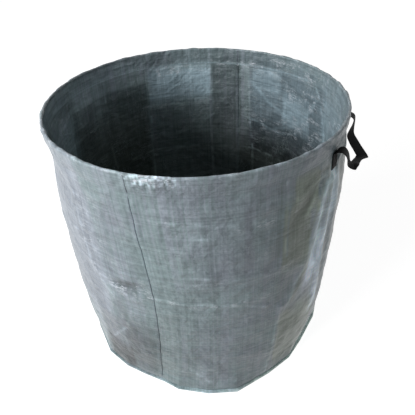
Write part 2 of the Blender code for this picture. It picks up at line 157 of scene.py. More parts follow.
# Creases from folding: points (azimuth, height), height of the ridge at its first and last point, and
# half width of its foot. A negative height is a valley. A gather under a handle has a soft crest, and a
# crease a sharp one.
CREASES = (
    (((-120, 0.335), (-109, 0.336), (-100, 0.332), (-92, 0.336), (-78, 0.318), (-62, 0.272)), 0.0014,
     0.0016, 0.014),
    (((-62, 0.272), (-63.4, 0.15), (-65.4, 0.012)), 0.004, 0.0025, 0.016),
    (((-95, 0.413), (-69, 0.387), (-53, 0.369)), 0.0009, 0.0012, 0.01),
    (((-95, 0.513), (-75, 0.497)), 0.0009, 0.0006, 0.01),
    (((-94, 0.542), (-76, 0.527), (-65, 0.528), (-58, 0.548)), -0.0007, -0.0012, 0.01),
    (((-62.2, 0.594), (-62.0, 0.513), (-61.6, 0.405)), 0.0012, 0.0007, 0.009),
    (((-126, 0.34), (-120, 0.316)), 0.0022, 0.0008, 0.007),
    (((-104, 0.548), (-98.5, 0.541)), 0.001, 0.0003, 0.006),
    (((-101, 0.486), (-98.0, 0.48)), 0.0009, 0.0003, 0.006),
    (((-87, 0.131), (-78, 0.054)), -0.002, -0.001, 0.02),
    (((-100, 0.1), (-91, 0.045)), 0.0018, 0.001, 0.02),
    (((-139, 0.56), (-136, 0.38), (-128, 0.3)), 0.0016, 0.0022, 0.02),
    (((-139, 0.084), (-126, 0.2), (-122, 0.29)), -0.0014, -0.0018, 0.016),
    (((-165, 0.47), (-150, 0.44), (-140, 0.455)), 0.0012, 0.0012, 0.014),
    (((-172, 0.24), (-155, 0.215), (-140, 0.235)), 0.0014, 0.0012, 0.014),
    (((115, 0.59), (114, 0.485), (115, 0.33), (116, 0.03)), 0.0022, 0.002, 0.012),
    (((82, 0.59), (83, 0.475), (82, 0.33), (81, 0.03)), -0.0022, -0.0018, 0.01),
    (((115, 0.487), (99, 0.478), (83.5, 0.474)), 0.0018, 0.0014, 0.01),
    (((62, 0.59), (61, 0.44), (59, 0.33), (58, 0.03)), -0.002, -0.0016, 0.012),
    (((62, 0.436), (43, 0.412), (30, 0.435), (12, 0.425)), -0.0016, -0.0012, 0.014),
    (((64, 0.585), (52, 0.59), (40, 0.575)), 0.0014, 0.001, 0.008),
    (((22, 0.592), (18, 0.569), (13, 0.48), (12, 0.33), (14, 0.03)), 0.0022, 0.0016, 0.012),
    (((161, 0.59), (162, 0.533), (164, 0.467), (163, 0.3), (161, 0.03)), 0.0022, 0.0018, 0.012),
    (((163, 0.33), (140, 0.322), (116, 0.33), (82, 0.322), (59, 0.33), (36, 0.32), (12, 0.33), (-10,
     0.322), (-40, 0.33)), 0.0016, 0.0016, 0.013),
    (((163, 0.165), (116, 0.172), (82, 0.16), (36, 0.17), (12, 0.165), (-20, 0.17), (-38, 0.16)),
     0.0014, 0.0014, 0.013),
    (((-12, 0.59), (-11, 0.44), (-12, 0.2), (-10, 0.03)), 0.0018, 0.0018, 0.012),
    (((138, 0.59), (139, 0.42), (137, 0.2), (138, 0.03)), -0.0014, -0.0014, 0.012),
)
GATHERS = (
    (((-126, 0.348), (-116, 0.36)), -0.0052, -0.003, 0.012),
    (((-41, 0.548), (-44.3, 0.525), (-47.3, 0.481), (-49.4, 0.422), (-51.2, 0.366), (-54, 0.309), (-60,
     0.272)), 0.006, 0.003, 0.016),
    (((-43, 0.56), (-49, 0.545), (-55, 0.515), (-62, 0.46), (-66, 0.42)), -0.0042, -0.0012, 0.015),
    (((-42.5, 0.566), (-50, 0.562), (-56, 0.548), (-64, 0.52)), 0.003, 0.0008, 0.01),
    (((-40, 0.548), (-43, 0.498), (-45.0, 0.43), (-46.5, 0.36)), -0.004, -0.0022, 0.012),
    (((-38.5, 0.548), (-41.3, 0.48), (-42.0, 0.391), (-41.0, 0.29), (-41.9, 0.203)), 0.0058, 0.003, 0.014),
    (((-36.5, 0.548), (-37.6, 0.47), (-37.8, 0.38), (-37.5, 0.28)), -0.003, -0.0014, 0.012),
    (((-34.5, 0.548), (-34.0, 0.44), (-33.0, 0.33), (-34.0, 0.2)), 0.0028, 0.0018, 0.014),
    (((-30.0, 0.556), (-27.0, 0.48), (-25.0, 0.38)), -0.0024, -0.001, 0.014),
    (((-8.4, 0.548), (-7.5, 0.47), (-8.5, 0.36)), 0.003, 0.001, 0.014),
    (((-5.0, 0.556), (0.0, 0.5), (4.0, 0.43)), 0.0026, 0.0008, 0.014),
    (((-12.0, 0.556), (-16.0, 0.5), (-19.0, 0.42)), -0.0024, -0.0008, 0.014),
    (((143.4, 0.548), (144.5, 0.47), (143.0, 0.36)), 0.0028, 0.001, 0.014),
    (((140.0, 0.556), (134.0, 0.5), (130.0, 0.43)), 0.0026, 0.0008, 0.014),
    (((147.0, 0.556), (151.0, 0.5), (153.0, 0.43)), -0.0022, -0.0008, 0.014),
    (((171.6, 0.548), (170.5, 0.47), (172.0, 0.36)), 0.0028, 0.001, 0.014),
    (((175.0, 0.556), (180.0, 0.5), (184.0, 0.43)), 0.0026, 0.0008, 0.014),
)

# Azimuths of the upright packing folds at the back, between which the wall is flattened, and by how much
FOLDS = (
    -8, 13, 37, 60, 82, 115, 138, 162, 186,
)
FOLD_FLATTENING = 0.0034

# Soft bulges and hollows of the wall: azimuth, height, half width in degrees, half height, and how far
# out
BULGES = (
    (-22, 0.47, 26, 0.085, 0.0046), (-159, 0.548, 28, 0.04, -0.004), (-22, 0.15, 30, 0.06, -0.0022),
    (-45, 0.17, 14, 0.07, 0.004), (-150, 0.3, 18, 0.09, 0.0016), (-88, 0.45, 20, 0.1, 0.0018),
    (-100, 0.21, 12, 0.07, -0.0016), (-72, 0.22, 10, 0.08, -0.0014), (98, 0.535, 14, 0.045, -0.004),
    (72, 0.5, 9, 0.1, 0.003), (36, 0.5, 18, 0.06, -0.003), (138, 0.43, 18, 0.09, 0.003),
    (98, 0.25, 16, 0.1, 0.0022), (30, 0.25, 20, 0.08, -0.0026), (-111, 0.27, 7, 0.13, -0.0075),
)

# Waves of the wall: height, size round the wall and upwards, and seed. Crumples: size, height as a
# share of the crinkle, and seed, and the level that they are counted from
WAVES = ((0.0020, (0.11, 0.11, 0.16), 3), (0.0014, (0.060, 0.060, 0.042), 5))
CRUMPLES = ((0.034, 1.7, 7), (0.019, 1.1, 11), (0.011, 0.6, 13))
CRUMPLE_LEVEL = 0.6

# Where the wall is calm, and where its full relief starts: above its foot, below the hem, and beside
# and above the middle of a handle's sewn end
CALM_FOOT = (0.004, 0.045)
CALM_HEM = (0.030, 0.002)
CALM_TAB_SIDE = (0.013, 0.030)
CALM_TAB_TOP = (0.017, 0.034)

# Patches of tone and painted light: panels that folding left lighter or darker, warmer or cooler, and
# painted light on the lit inside at the back right, with painted shade inside low down, on the right side
# and on the lower left. Azimuth and height of the middle, half sizes, lighter (+) or darker (-), and
# warmer (+) or cooler (-). Their edges are ragged by a share of their size.
TONE_AND_PAINTED_LIGHT_PATCHES = (
    (98, 0.54, 16, 0.056, 0.85, -0.75), (38, 0.5, 23, 0.11, -0.18, -0.9),
    (38, 0.38, 23, 0.06, -0.3, -0.2), (33, 0.49, 9, 0.045, 0.45, -0.3), (52, 0.56, 8, 0.03, 0.3, -0.3),
    (25, 0.24, 42, 0.12, -0.32, 0.1), (4, 0.48, 11, 0.13, 0.22, -0.7),
    (73.5, 0.52, 7.5, 0.12, -0.34, 0.1), (138, 0.36, 22, 0.2, -0.3, 0.35),
    (138, 0.585, 22, 0.03, 0.8, 0.0), (150, 0.545, 9, 0.05, 0.3, 0.0), (175, 0.44, 12, 0.15, 0.6, -0.2),
    (-53, 0.55, 6, 0.05, 0.02, 0.85), (-57, 0.46, 6, 0.09, -0.12, 0.8),
    (-37, 0.32, 27, 0.34, -0.17, 0.05), (-24, 0.43, 7, 0.16, -0.12, 0.35),
    (-51, 0.13, 11, 0.11, 0.05, 0.9), (-134, 0.045, 8.5, 0.065, -0.45, 0.0),
    (-70, 0.48, 7, 0.11, -0.1, -0.3), (-83, 0.47, 9, 0.11, -0.02, -0.45),
    (-100, 0.48, 10, 0.12, -0.02, 0.1), (-150, 0.42, 17, 0.24, -0.05, -1.0),
    (-121, 0.15, 6, 0.11, -0.2, 0.05), (-88, 0.1, 22, 0.12, -0.06, 0.0),
    (-125, 0.48, 11, 0.12, -0.08, -0.2), (-126, 0.11, 14, 0.12, -0.36, 0.0),
    (-122, 0.345, 4, 0.024, -0.22, 0.1), (-85, 0.17, 20, 0.14, -0.06, -0.1),
    (-104, 0.18, 9, 0.13, -0.06, 0.2),
)
RAGGED_SIZE = 0.022
RAGGED_SHARE = 0.10
RAGGED_DEGREES = 6
RAGGED_SEED = 61

# Shares of a tint's half sizes between which it fades, sideways and upwards
TINT_SIDE_FADE = (0.90, 1.10)
TINT_TOP_FADE = (0.50, 1.40)

# Streaks of painted light and painted shade along folds and seams: points, lighter (+) or darker (-),
# warmer (+) or cooler (-), and half width
PAINTED_LIGHT_STREAKS = (
    (((-35.0, 0.535), (-37.6, 0.46), (-41.0, 0.398), (-44.3, 0.355), (-43.2, 0.3), (-41.0, 0.225),
     (-42.0, 0.18)), 2.8, -0.5, 0.02),
    (((-38.6, 0.46), (-42.0, 0.398), (-43.3, 0.355)), 1.2, -0.2, 0.006),
    (((-38.0, 0.552), (-41.5, 0.54), (-43.5, 0.52), (-44.6, 0.496), (-45.1, 0.47), (-46.0, 0.44),
     (-46.5, 0.405), (-46.8, 0.372), (-47.5, 0.336), (-48.0, 0.292)), 2.6, -0.4, 0.015),
    (((-48.5, 0.34), (-51.0, 0.28), (-50.5, 0.225)), 0.45, 0.1, 0.016),
    (((-41.5, 0.25), (-41.8, 0.205), (-43.0, 0.17)), 1.2, -0.2, 0.008),
    (((-39.2, 0.571), (-45.9, 0.562), (-49.6, 0.522), (-52.8, 0.496)), 0.6, 0.3, 0.0045),
    (((-40.0, 0.56), (-44.0, 0.52), (-48.0, 0.45), (-51.0, 0.4)), 0.5, 0.3, 0.0036),
    (((-39.5, 0.565), (-44.5, 0.545), (-48.5, 0.49), (-51.5, 0.44)), -0.35, 0.5, 0.004),
    (((-38.5, 0.55), (-41.5, 0.51), (-44.5, 0.45), (-47.0, 0.4)), -0.45, 0.6, 0.005),
    (((-40.0, 0.574), (-48.0, 0.578), (-55.0, 0.56)), -0.3, 0.5, 0.0045),
    (((-46.8, 0.411), (-51.5, 0.36), (-55.9, 0.317), (-57.3, 0.284), (-60.5, 0.243)), 0.55, 0.1, 0.0032),
    (((-48.5, 0.38), (-53.0, 0.33), (-56.5, 0.27)), -0.25, 0.6, 0.008),
    (((67.5, 0.57), (67.5, 0.03)), 0.3, -0.1, 0.0045),
    (((62.0, 0.56), (50.0, 0.5), (38.0, 0.47)), 0.35, -0.1, 0.005),
    (((20.0, 0.56), (26.0, 0.5), (38.0, 0.44), (52.0, 0.41)), 0.3, -0.1, 0.005),
    (((-61.2, 0.595), (-61.0, 0.5), (-60.9, 0.419)), 0.3, -0.6, 0.003),
    (((-64.6, 0.59), (-64.8, 0.5), (-64.6, 0.43)), -0.16, 0.2, 0.006),
    (((-33.0, 0.296), (-40.0, 0.3)), -0.45, 0.1, 0.0026),
    (((-60.6, 0.243), (-61.0, 0.175), (-63.0, 0.101), (-65.0, 0.014)), 0.22, -0.2, 0.003),
    (((-58.5, 0.235), (-59.0, 0.16), (-60.5, 0.08)), -0.14, 0.4, 0.011),
    (((-103.7, 0.335), (-95.6, 0.334), (-87.1, 0.328)), 0.35, -0.2, 0.0016),
    (((-137.5, 0.6), (-134.5, 0.56), (-132.0, 0.5), (-131.0, 0.42), (-131.0, 0.36), (-133.0, 0.24)),
     0.22, -0.6, 0.013),
    (((-131.0, 0.36), (-126.0, 0.33), (-120.0, 0.325)), 0.25, -0.5, 0.006),
    (((-128.0, 0.39), (-123.0, 0.365), (-118.0, 0.372)), -0.16, 0.1, 0.007),
    (((-126.0, 0.29), (-123.0, 0.2), (-124.0, 0.1)), -0.14, 0.1, 0.012),
    (((-87.5, 0.12), (-83.0, 0.08), (-76.5, 0.04)), -0.2, 0.1, 0.011),
    (((-98.0, 0.095), (-92.0, 0.06), (-87.0, 0.02)), 0.16, -0.1, 0.012),
    (((-82.0, 0.075), (-74.0, 0.03)), 0.12, -0.1, 0.009),
    (((28.0, 0.599), (60.0, 0.598), (85.0, 0.6), (112.0, 0.597)), 0.6, -0.2, 0.0028),
    (((112.0, 0.597), (140.0, 0.6), (170.0, 0.596)), 0.35, 0.0, 0.0028),
)

# Places of painted glints, pale strokes in the colour that stand in for highlights: azimuth and height
# of the middle, half sizes, and strength
GLINTS = (
    (30, 0.548, 13, 0.03, 0.55), (57, 0.603, 9, 0.008, 0.9), (77, 0.602, 5, 0.006, 0.8),
    (98, 0.58, 16, 0.016, 0.6), (100, 0.48, 17, 0.006, 0.5), (45, 0.43, 18, 0.022, 0.5),
    (20, 0.46, 8, 0.06, 0.5), (0, 0.55, 12, 0.04, 0.5), (-110.2, 0.332, 6.5, 0.006, 1.0),
    (-99.5, 0.485, 3, 0.006, 1.0), (-101, 0.545, 5, 0.006, 0.8), (-122, 0.348, 8, 0.03, 0.6),
    (-45, 0.44, 7, 0.12, 0.4), (-134, 0.45, 7, 0.12, 0.4), (-66, 0.52, 14, 0.006, 0.5),
    (-75, 0.39, 20, 0.006, 0.4), (-85, 0.326, 22, 0.005, 0.5), (-103, 0.633, 7, 0.006, 3.0),
    (-96, 0.08, 8, 0.03, 0.3), (172, 0.56, 12, 0.03, 0.4), (34, 0.615, 22, 0.022, 0.55),
    (36, 0.47, 10, 0.04, 0.45),
)

# How strongly a gather's crest takes a painted highlight, how dark the painted shadow in its hollow gets,
# and the pale line on a crease, partly wear and partly a painted highlight: its half width, how pale it
# is, and the size, level and spread of its patches, of which a streak shows a share
GATHER_SHEEN = 60.0
GATHER_SHADOW = -0.30
CREASE_MARK = 0.0030
CREASE_WEAR_AND_HIGHLIGHT = 0.46
WEAR_AND_HIGHLIGHT_SIZE = 0.017
WEAR_AND_HIGHLIGHT_SEED = 67
WEAR_AND_HIGHLIGHT_LEVEL = 0.7
WEAR_AND_HIGHLIGHT_SPREAD = 1.2
STREAK_PATCHINESS = 0.45

# Marks on the points of the cloth's meshes, which its material reads
MARKS = ("light", "warm", "glint", "inner")

# Course of the front seam: height, and how many degrees it strays from an upright line. The cloth
# beside it follows within the reach.
SEAM_WANDER = (
    (0.0, 0.2), (0.026, 0.6), (0.111, 2.2), (0.199, 3.3), (0.272, 3.6), (0.337, 3.7), (0.394, 3.0),
    (0.447, 2.2), (0.495, 1.5), (0.54, 0.7), (0.582, 0.0), (0.65, 0.0),
)
SEAM_WANDER_REACH = 22.0

# Painted shade on the cloth's inner side and its warmth, deeper low down: the heights between which they
# fade, the least share of painted shade, and how far a face turns to the middle of the bag where its inner
# side starts and is complete
INNER_PAINTED_SHADE = 0.22
INNER_SHADE_WARMTH = 0.45
INNER_FADE = (0.28, 0.52)
INNER_LEAST = 0.7
INNER_FACING = (0.0, 0.5)

# The wall's foot: its painted light, how far it bulges over the base seam, the heights at which the bulge
# starts and ends, the height over which the painted light fades, and the slit at the lower right where it
# stays drawn in, with painted shade low in it
FOOT_PAINTED_LIGHT = 0.10
FOOT_BULGE = 0.0056
FOOT_BULGE_START = (0.003, 0.0105)
FOOT_BULGE_END = (0.012, 0.060)
FOOT_LIGHT_FADE = 0.022
SLIT_SHADE_FADE = (0.002, 0.008)
SLIT_MIDDLE = -33.0
SLIT_HALF_WIDTH = 11.0

# Rows of the wall's mesh up its foot: height above the flange's, and how far out the row lies
FOOT_ROWS = ((0.0, SEAM_FLANGE - CLOTH / 2 - GAP), (0.0, 0.006), (0.0, 0.0025), (0.0004, 0.0008))
FOOT_HEIGHTS = (0.0032, 0.0052, 0.0075, 0.0100, 0.0128)
BODY_START = 0.0160
BODY_END = 0.004

# Columns of the wall's mesh in the bend of a side seam and down its allowance, the heights over which
# the seam opens and closes, and the pucker beside it: height, size, seed, and reach in degrees
BEND_COLUMNS = (0.0001, 0.0004, 0.0009, 0.0016, 0.0026)
ALLOWANCE_COLUMNS = (SIDE_ALLOWANCE, 0.0065, 0.0045, SEAM_BEND)
SEAM_OPENS = (0.013, 0.030)
SEAM_CLOSES = (0.018, 0.006)
SEAM_CLOSED_SHARE = 0.9
SEAM_SOFT_SHARE = 0.08
PUCKER = (0.0007, 0.021, 23)
PUCKER_REACH = (0.4, 3.5)
OUTSIDE_BELOW = 0.0155
OUTSIDE_ABOVE = 0.003

# The hem: size of its mesh's cells, columns beside its ends and in its crushed place, and rows above
# the stitches
HEM_CELL = 0.0035
HEM_END_COLUMNS = (0.0005, 0.0010, 0.0016, 0.0024)
HEM_ROWS = (0.0, 0.0022, 0.0055, 0.010, 0.0145, 0.019, 0.0235, 0.0275)
HEM_FIRST_ROW = 0.0022
HEM_ARC = (-8, 188, 15)
CRUSHED_COLUMNS = (-7.8, 9.2, 70)

# Puffs of the hem: the rise over which it puffs, its least height, and the heights and sizes of its waves
PUFF_RISE = 0.030
PUFF = 0.0008
HEM_WAVE = (0.0009, 0.028, 31)
HEM_FINE = (0.00025, 0.011, 37)
HEM_ROW_WAVE = (0.0006, 0.020, 0.016, 41)
ARCH_WAVE = (0.0016, -0.2)
ARCH_FINE = (0.0005, -0.4)
SEAM_LUMP = 0.0012
SEAM_LUMP_DROP = 0.0009
SEAM_LUMP_WIDTH = 1.1

# The groove of a side seam in the hem: depth, half width, and the painted shade in it
SEAM_GROOVE = 0.0010
SEAM_GROOVE_WIDTH = 0.0011
SEAM_GROOVE_SHADE = 0.70

# The crushed place on the front of the rim, in degrees and metres: its middle, half width and depth,
# the size of its crumples along and upwards and their seed, the size, seed, level, spread and limit of
# the specks of its painted highlight, the heights between which the painted highlight shows, and how bright
DENT_MIDDLE = -104.0
DENT_HALF_WIDTH = 8.0
DENT_DEPTH = 0.0032
DENT_CRUSH = (0.009, 0.007, 73)
DENT_HIGHLIGHT_SPECKS = (0.0045, 71, 0.8, 2.4, 2.2)
DENT_HIGHLIGHT_HEIGHTS = (0.614, 0.630)
DENT_PAINTED_HIGHLIGHT = 1.5

# How pale the rim's edge is, from wear and a painted highlight, the painted light on the base seam's
# edge, how the rim's edge takes painted glints, and how light the hem is beside the wall: its tints'
# share, what is added inside, and its warmth
RING_WEAR_AND_HIGHLIGHT = 0.75
RING_EDGE_LEVEL = 0.6
LIP_PAINTED_LIGHT = 0.60
LIP_WARMTH = 0.6
RING_GLINT = 0.6
HEM_TINT_SHARE = 0.5
HEM_INSIDE_TINT_SHARE = 0.1
HEM_WARM_SHARE = 0.6
HEM_COOLNESS = 0.30

# How much wear and painted highlight the rim's top edge has, how light the hem's inner side is, how much
# painted light the base seam's edge gets, and how warm that edge is, round the bag: azimuth, and share
RIM_EDGE_SHARES = (
    (-180, -0.1), (-160, 0.5), (-140, 1.3), (-70, 1.3), (-45, 0.5), (0, 0.5), (60, 0.7), (100, 0.1),
    (180, -0.1),
)
HEM_INSIDE_SHARES = (
    (-180, 0.4), (-150, 0.1), (20, 0.1), (55, -0.1), (110, -0.1), (125, 0.4), (180, 0.4),
)
LIP_EDGE_SHARES = (
    (-180, 0.6), (-125, 0.8), (-110, 1.6), (-90, 1.6), (-60, 3.4), (-35, 7.5), (40, 2.0), (180, 0.6),
)
LIP_WARM_SHARES = (
    (-180, 0.0), (-90, 0.0), (-70, 1.0), (0, 1.0), (40, 0.0), (180, 0.0),
)

# The base: columns of its mesh, rows as shares of its radius, its wrinkles (height, size, seed), its
# folding ridges (height, half width, and where they cross), where the wrinkles fade, its lip's turn and
# the insets of the lip's rows, where its weave starts, and the width that it is cut from as a share of
# its own
BASE_COLUMNS = 360
BASE_ROW_SHARES = (*np.linspace(0.004, 0.955, 62), 0.972, 0.988, 1.0)
BASE_WRINKLES = ((0.0016, 0.045, 51), (0.0040, 0.13, 53))
BASE_RIDGE = (0.0028, 0.010)
BASE_RIDGES_CROSS = (0.03, -0.02)
BASE_CALM_SHARES = (0.86, 0.95)
LIP_TURN = 0.0009
LIP_ROWS = (0.0002, 0.003, LIP)
BASE_CLOTH_SHIFT = 2.0

# Half width and half height of a handle's box of stitches, its stitches' length, thickness, gap and
# lift as shares, the other stitches' gap and slant, how far the side seams' stitches end above the
# floor and below the hem, the points of their paths below and above the fold, and the step of the paths
# round the bag in degrees
BOX_HALF_WIDTH = 0.0090
BOX_HALF_HEIGHT = 0.0105
BOX_STITCH = 0.0030
BOX_THREAD_SHARE = 0.9
BOX_GAP_SHARE = 0.12
BOX_LIFT_SHARE = 0.3
STITCH_GAP_SHARE = 0.16
STITCH_SLANT = 0.03
SEAM_STITCH_START = 0.020
SEAM_STITCH_END = 0.008
SEAM_POINTS = 84
TOP_SEAM_POINTS = 7
ROUND_STEP = 0.75

# A strap's mesh: points added between its stations, least step, shares across and thickness at its
# edge, shares across its middle, its cup (height, size and share), and where its loop starts to turn
# beside the hinge
STRAP_STEPS = 5
STRAP_LEAST_STEP = 0.0004
STRAP_EDGE_SHARES = ((1.0, 0.45), (0.985, 0.85))
STRAP_MIDDLE_SHARES = (-0.94, 0.94, 11)
STRAP_CUP = 0.0006
STRAP_CUP_SIZE = 0.016
STRAP_CUP_SHARE = 0.35

# How bright the floor looks near the bag, where its shadow falls, and the distances between which it
# whitens
FLOOR_GLOW = 0.92
FLOOR_WHITENS = (1.5, 3.0)
FLOOR_REACH = 14.0

# Lamps: place, target, width and height. Camera: pitch, roll and pan in degrees, place, and focal
# length and width of the picture in pixels
KEY_LAMP = ((-2.60, -1.45, 1.72), (0, 0, 0.40), 2.2, 1.2)
FILL_LAMP = ((2.0, -2.4, 1.2), (0, 0, 0.35), 1.2, 1.6)
CAMERA_TURN = (37.461, -2.376, 1.041)
CAMERA_PLACE = (0.0, -0.9127, 1.0225)
FOCAL_PIXELS = 430.0
PICTURE_PIXELS = 415.0
SENSOR_MILLIMETRES = 36.0

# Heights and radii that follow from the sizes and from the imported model
HALF_CLOTH = CLOTH / 2
LAYER = CLOTH + GAP
FOOT_LAYER = HALF_CLOTH + LAYER
LIP_LAYER = FOOT_LAYER + LAYER
HEM_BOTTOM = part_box("rim_hem_front")[0].z
TAB_TOP = HEM_BOTTOM - TAB_BELOW_HEM
TAB_BOTTOM = TAB_TOP - TAB_LENGTH
TAB_MIDDLE = (TAB_TOP + TAB_BOTTOM) / 2
FOLD_LINE = TAB_BOTTOM - FOLD_BELOW_TABS
RIM_RADIUS = RIM_DIAMETER / 2
BASE_RADIUS = BASE_DIAMETER / 2
BELLY_RADIUS = BELLY_DIAMETER / 2
WAIST_RADIUS = RIM_RADIUS - WAIST_INSET
WIRE_FACET_SHARE = math.cos(math.pi / 8)
WALL_FACET_SHARE = math.cos(math.radians(360 / WALL_FACETS / 2))
FERRULE_RADIUS = (HOOP_WIRE / 2 + GAP) / WIRE_FACET_SHARE + FERRULE_WALL
HEM_ARCH = (FERRULE_RADIUS + GAP + HALF_CLOTH) / WIRE_FACET_SHARE
HOOP_RADIUS = RIM_RADIUS - HALF_CLOTH - HEM_ARCH
HOOP_HEIGHT = BAG_HEIGHT - HALF_CLOTH - HEM_ARCH
ARC_RADIUS = (BELLY_RADIUS + WAIST_RADIUS) / 2
STITCH_LINE = HEM_BOTTOM + HEM_STITCH_RISE
HANDLE_HINGES = {
    joint["child"]: Vector(joint["pos_m"]) for joint in frame["joints"] if joint["type"] == "hinge"
}
STITCH_LIFT = HALF_CLOTH + THREAD / 4


class LeafBagSizes(bpy.types.PropertyGroup):
    """Sizes that a user can change."""

    crinkle: bpy.props.FloatProperty(
        name="Crinkle", description="Height of the fine crinkles in the cloth", default=0.0008, unit="LENGTH")
    fold_strength: bpy.props.FloatProperty(
        name="Fold strength", description="How strongly the folds stand out", default=1.0, min=0.0)
    cell: bpy.props.FloatProperty(
        name="Cloth cell", description="Size of the cloth mesh's cells", default=0.0040, unit="LENGTH")
    tape: bpy.props.FloatProperty(
        name="Tape", description="Width of one woven tape", default=0.0025, unit="LENGTH")
    stitch: bpy.props.FloatProperty(
        name="Stitch", description="Length of one stitch", default=0.0048, unit="LENGTH")


class LeafBagColours(bpy.types.PropertyGroup):
    """Colours that a user can change."""

    cloth: bpy.props.FloatVectorProperty(
        name="Cloth", description="Colour of the laminated cloth", subtype="COLOR",
        default=(0.236, 0.280, 0.293))
    webbing: bpy.props.FloatVectorProperty(
        name="Webbing", description="Colour of the webbing", subtype="COLOR",
        default=(0.0035, 0.0037, 0.0040))
    thread: bpy.props.FloatVectorProperty(
        name="Thread", description="Colour of the cloth's thread", subtype="COLOR",
        default=(0.200, 0.236, 0.250))
    black_thread: bpy.props.FloatVectorProperty(
        name="Handle thread", description="Colour of the handles' thread", subtype="COLOR",
        default=(0.022, 0.022, 0.024))
    steel: bpy.props.FloatVectorProperty(
        name="Steel", description="Colour of the spring wire", subtype="COLOR", default=(0.42, 0.43, 0.44))
    floor: bpy.props.FloatVectorProperty(
        name="Floor", description="Colour of the floor", subtype="COLOR", default=(0.40, 0.40, 0.40))


class LeafBagLight(bpy.types.PropertyGroup):
    """Lamp strengths that a user can change."""

    key: bpy.props.FloatProperty(
        name="Key", description="Power of the large left lamp", default=120.0, unit="POWER")
    fill: bpy.props.FloatProperty(name="Fill", description="Power of the right lamp", default=8.5,
                                  unit="POWER")
    sky: bpy.props.FloatProperty(
        name="Sky", description="Strength of the light from all round", default=0.115)


# Noise and cloth shape

def lattice_values(cells, seed):
    """A repeatable number from -1 to 1 for each whole-numbered lattice point."""
    mixed = cells[..., 0] * 374761393 + cells[..., 1] * 668265263 + cells[..., 2] * 1440662683
    mixed = (mixed + seed * 974634777) & 0xFFFFFFFF
    mixed = ((mixed ^ (mixed >> 13)) * 1274126177) & 0xFFFFFFFF
    mixed = mixed ^ (mixed >> 16)
    return (mixed % 65536) / 32767.5 - 1.0


def smooth_noise(points, seed):
    """Smooth noise from -1 to 1 at an array of points measured in cells."""
    low = np.floor(points).astype(np.int64)
    part = points - low
    part = part * part * part * (part * (part * 6 - 15) + 10)
    total = np.zeros(points.shape[:-1])
    for corner in range(8):
        step = np.array([corner & 1, (corner >> 1) & 1, (corner >> 2) & 1])
        weight = np.prod(np.where(step == 1, part, 1 - part), axis=-1)
        total += weight * lattice_values(low + step, seed)
    return total


def ease(values, low, high):
    """0 below low, 1 above high, and smooth between."""
    share = np.clip((values - low) / (high - low), 0, 1)
    return share * share * (3 - 2 * share)


def turn_between(degrees, middle):
    """Signed angle in degrees from a middle azimuth, from -180 to 180."""
    return (degrees - middle + 180) % 360 - 180


def share_round(table, degrees):
    """A table's share at arrays of azimuths."""
    return np.interp(turn_between(np.asarray(degrees, float), 0), *zip(*table))


def polar_points(radius, degrees, height):
    """Points at arrays of radii, azimuths and heights."""
    angle = np.radians(degrees)
    return np.stack([radius * np.cos(angle), radius * np.sin(angle), height + np.zeros_like(angle)], -1)


def outline_radius(degrees):
    """Radius of the base seam's outer edge, which runs straight from corner to corner."""
    shares = np.array(BASE_OUTLINE_SHARES)
    corners = np.append(shares[:, 0], shares[0, 0] + 360)
    reach = np.append(shares[:, 1], shares[0, 1]) * BASE_RADIUS
    around = (np.asarray(degrees, float) - corners[0]) % 360 + corners[0]
    after = np.clip(np.searchsorted(corners, around, side="right"), 1, len(corners) - 1)
    before = after - 1
    span = np.radians(corners[after] - corners[before])
    first = np.radians(around - corners[before])
    across = reach[before] * reach[after] * np.sin(span)
    return across / (reach[after] * np.sin(span - first) + reach[before] * np.sin(first))


def plain_radius(degrees, height):
    """Radius of the middle of the wall cloth before folds."""
    foot = outline_radius(degrees) - SEAM_FLANGE
    rise = 1 - (1 - np.clip(height / BELLY_HEIGHT, 0, 1)) ** 3
    climb = np.clip((height - BELLY_HEIGHT) / (HEM_BOTTOM - BELLY_HEIGHT), 0, 1)
    return foot + rise * (BELLY_RADIUS - foot) + climb**2 * (WAIST_RADIUS - BELLY_RADIUS)


def crease_relief(degrees, height, creases, soft):
    """Relief of a table of creases at arrays of places on the wall."""
    relief = np.zeros_like(height)
    for line, first, last, width in creases:
        nearest = np.full_like(height, 1.0)
        along = np.zeros_like(height)
        length = 0.0
        for start, end in zip(line, line[1:]):
            x = np.radians(turn_between(degrees, start[0])) * ARC_RADIUS
            y = height - start[1]
            run = math.radians(end[0] - start[0]) * ARC_RADIUS
            rise = end[1] - start[1]
            share = np.clip((x * run + y * rise) / (run * run + rise * rise), 0, 1)
            distance = np.hypot(x - share * run, y - share * rise)
            closer = distance < nearest
            after = length + math.hypot(run, rise)
            along = np.where(closer, length + share * (after - length), along)
            nearest = np.where(closer, distance, nearest)
            length = after
        tall = first + (last - first) * along / length
        relief += tall * np.exp(-((nearest / width) ** (2 if soft else 1)))
    return relief


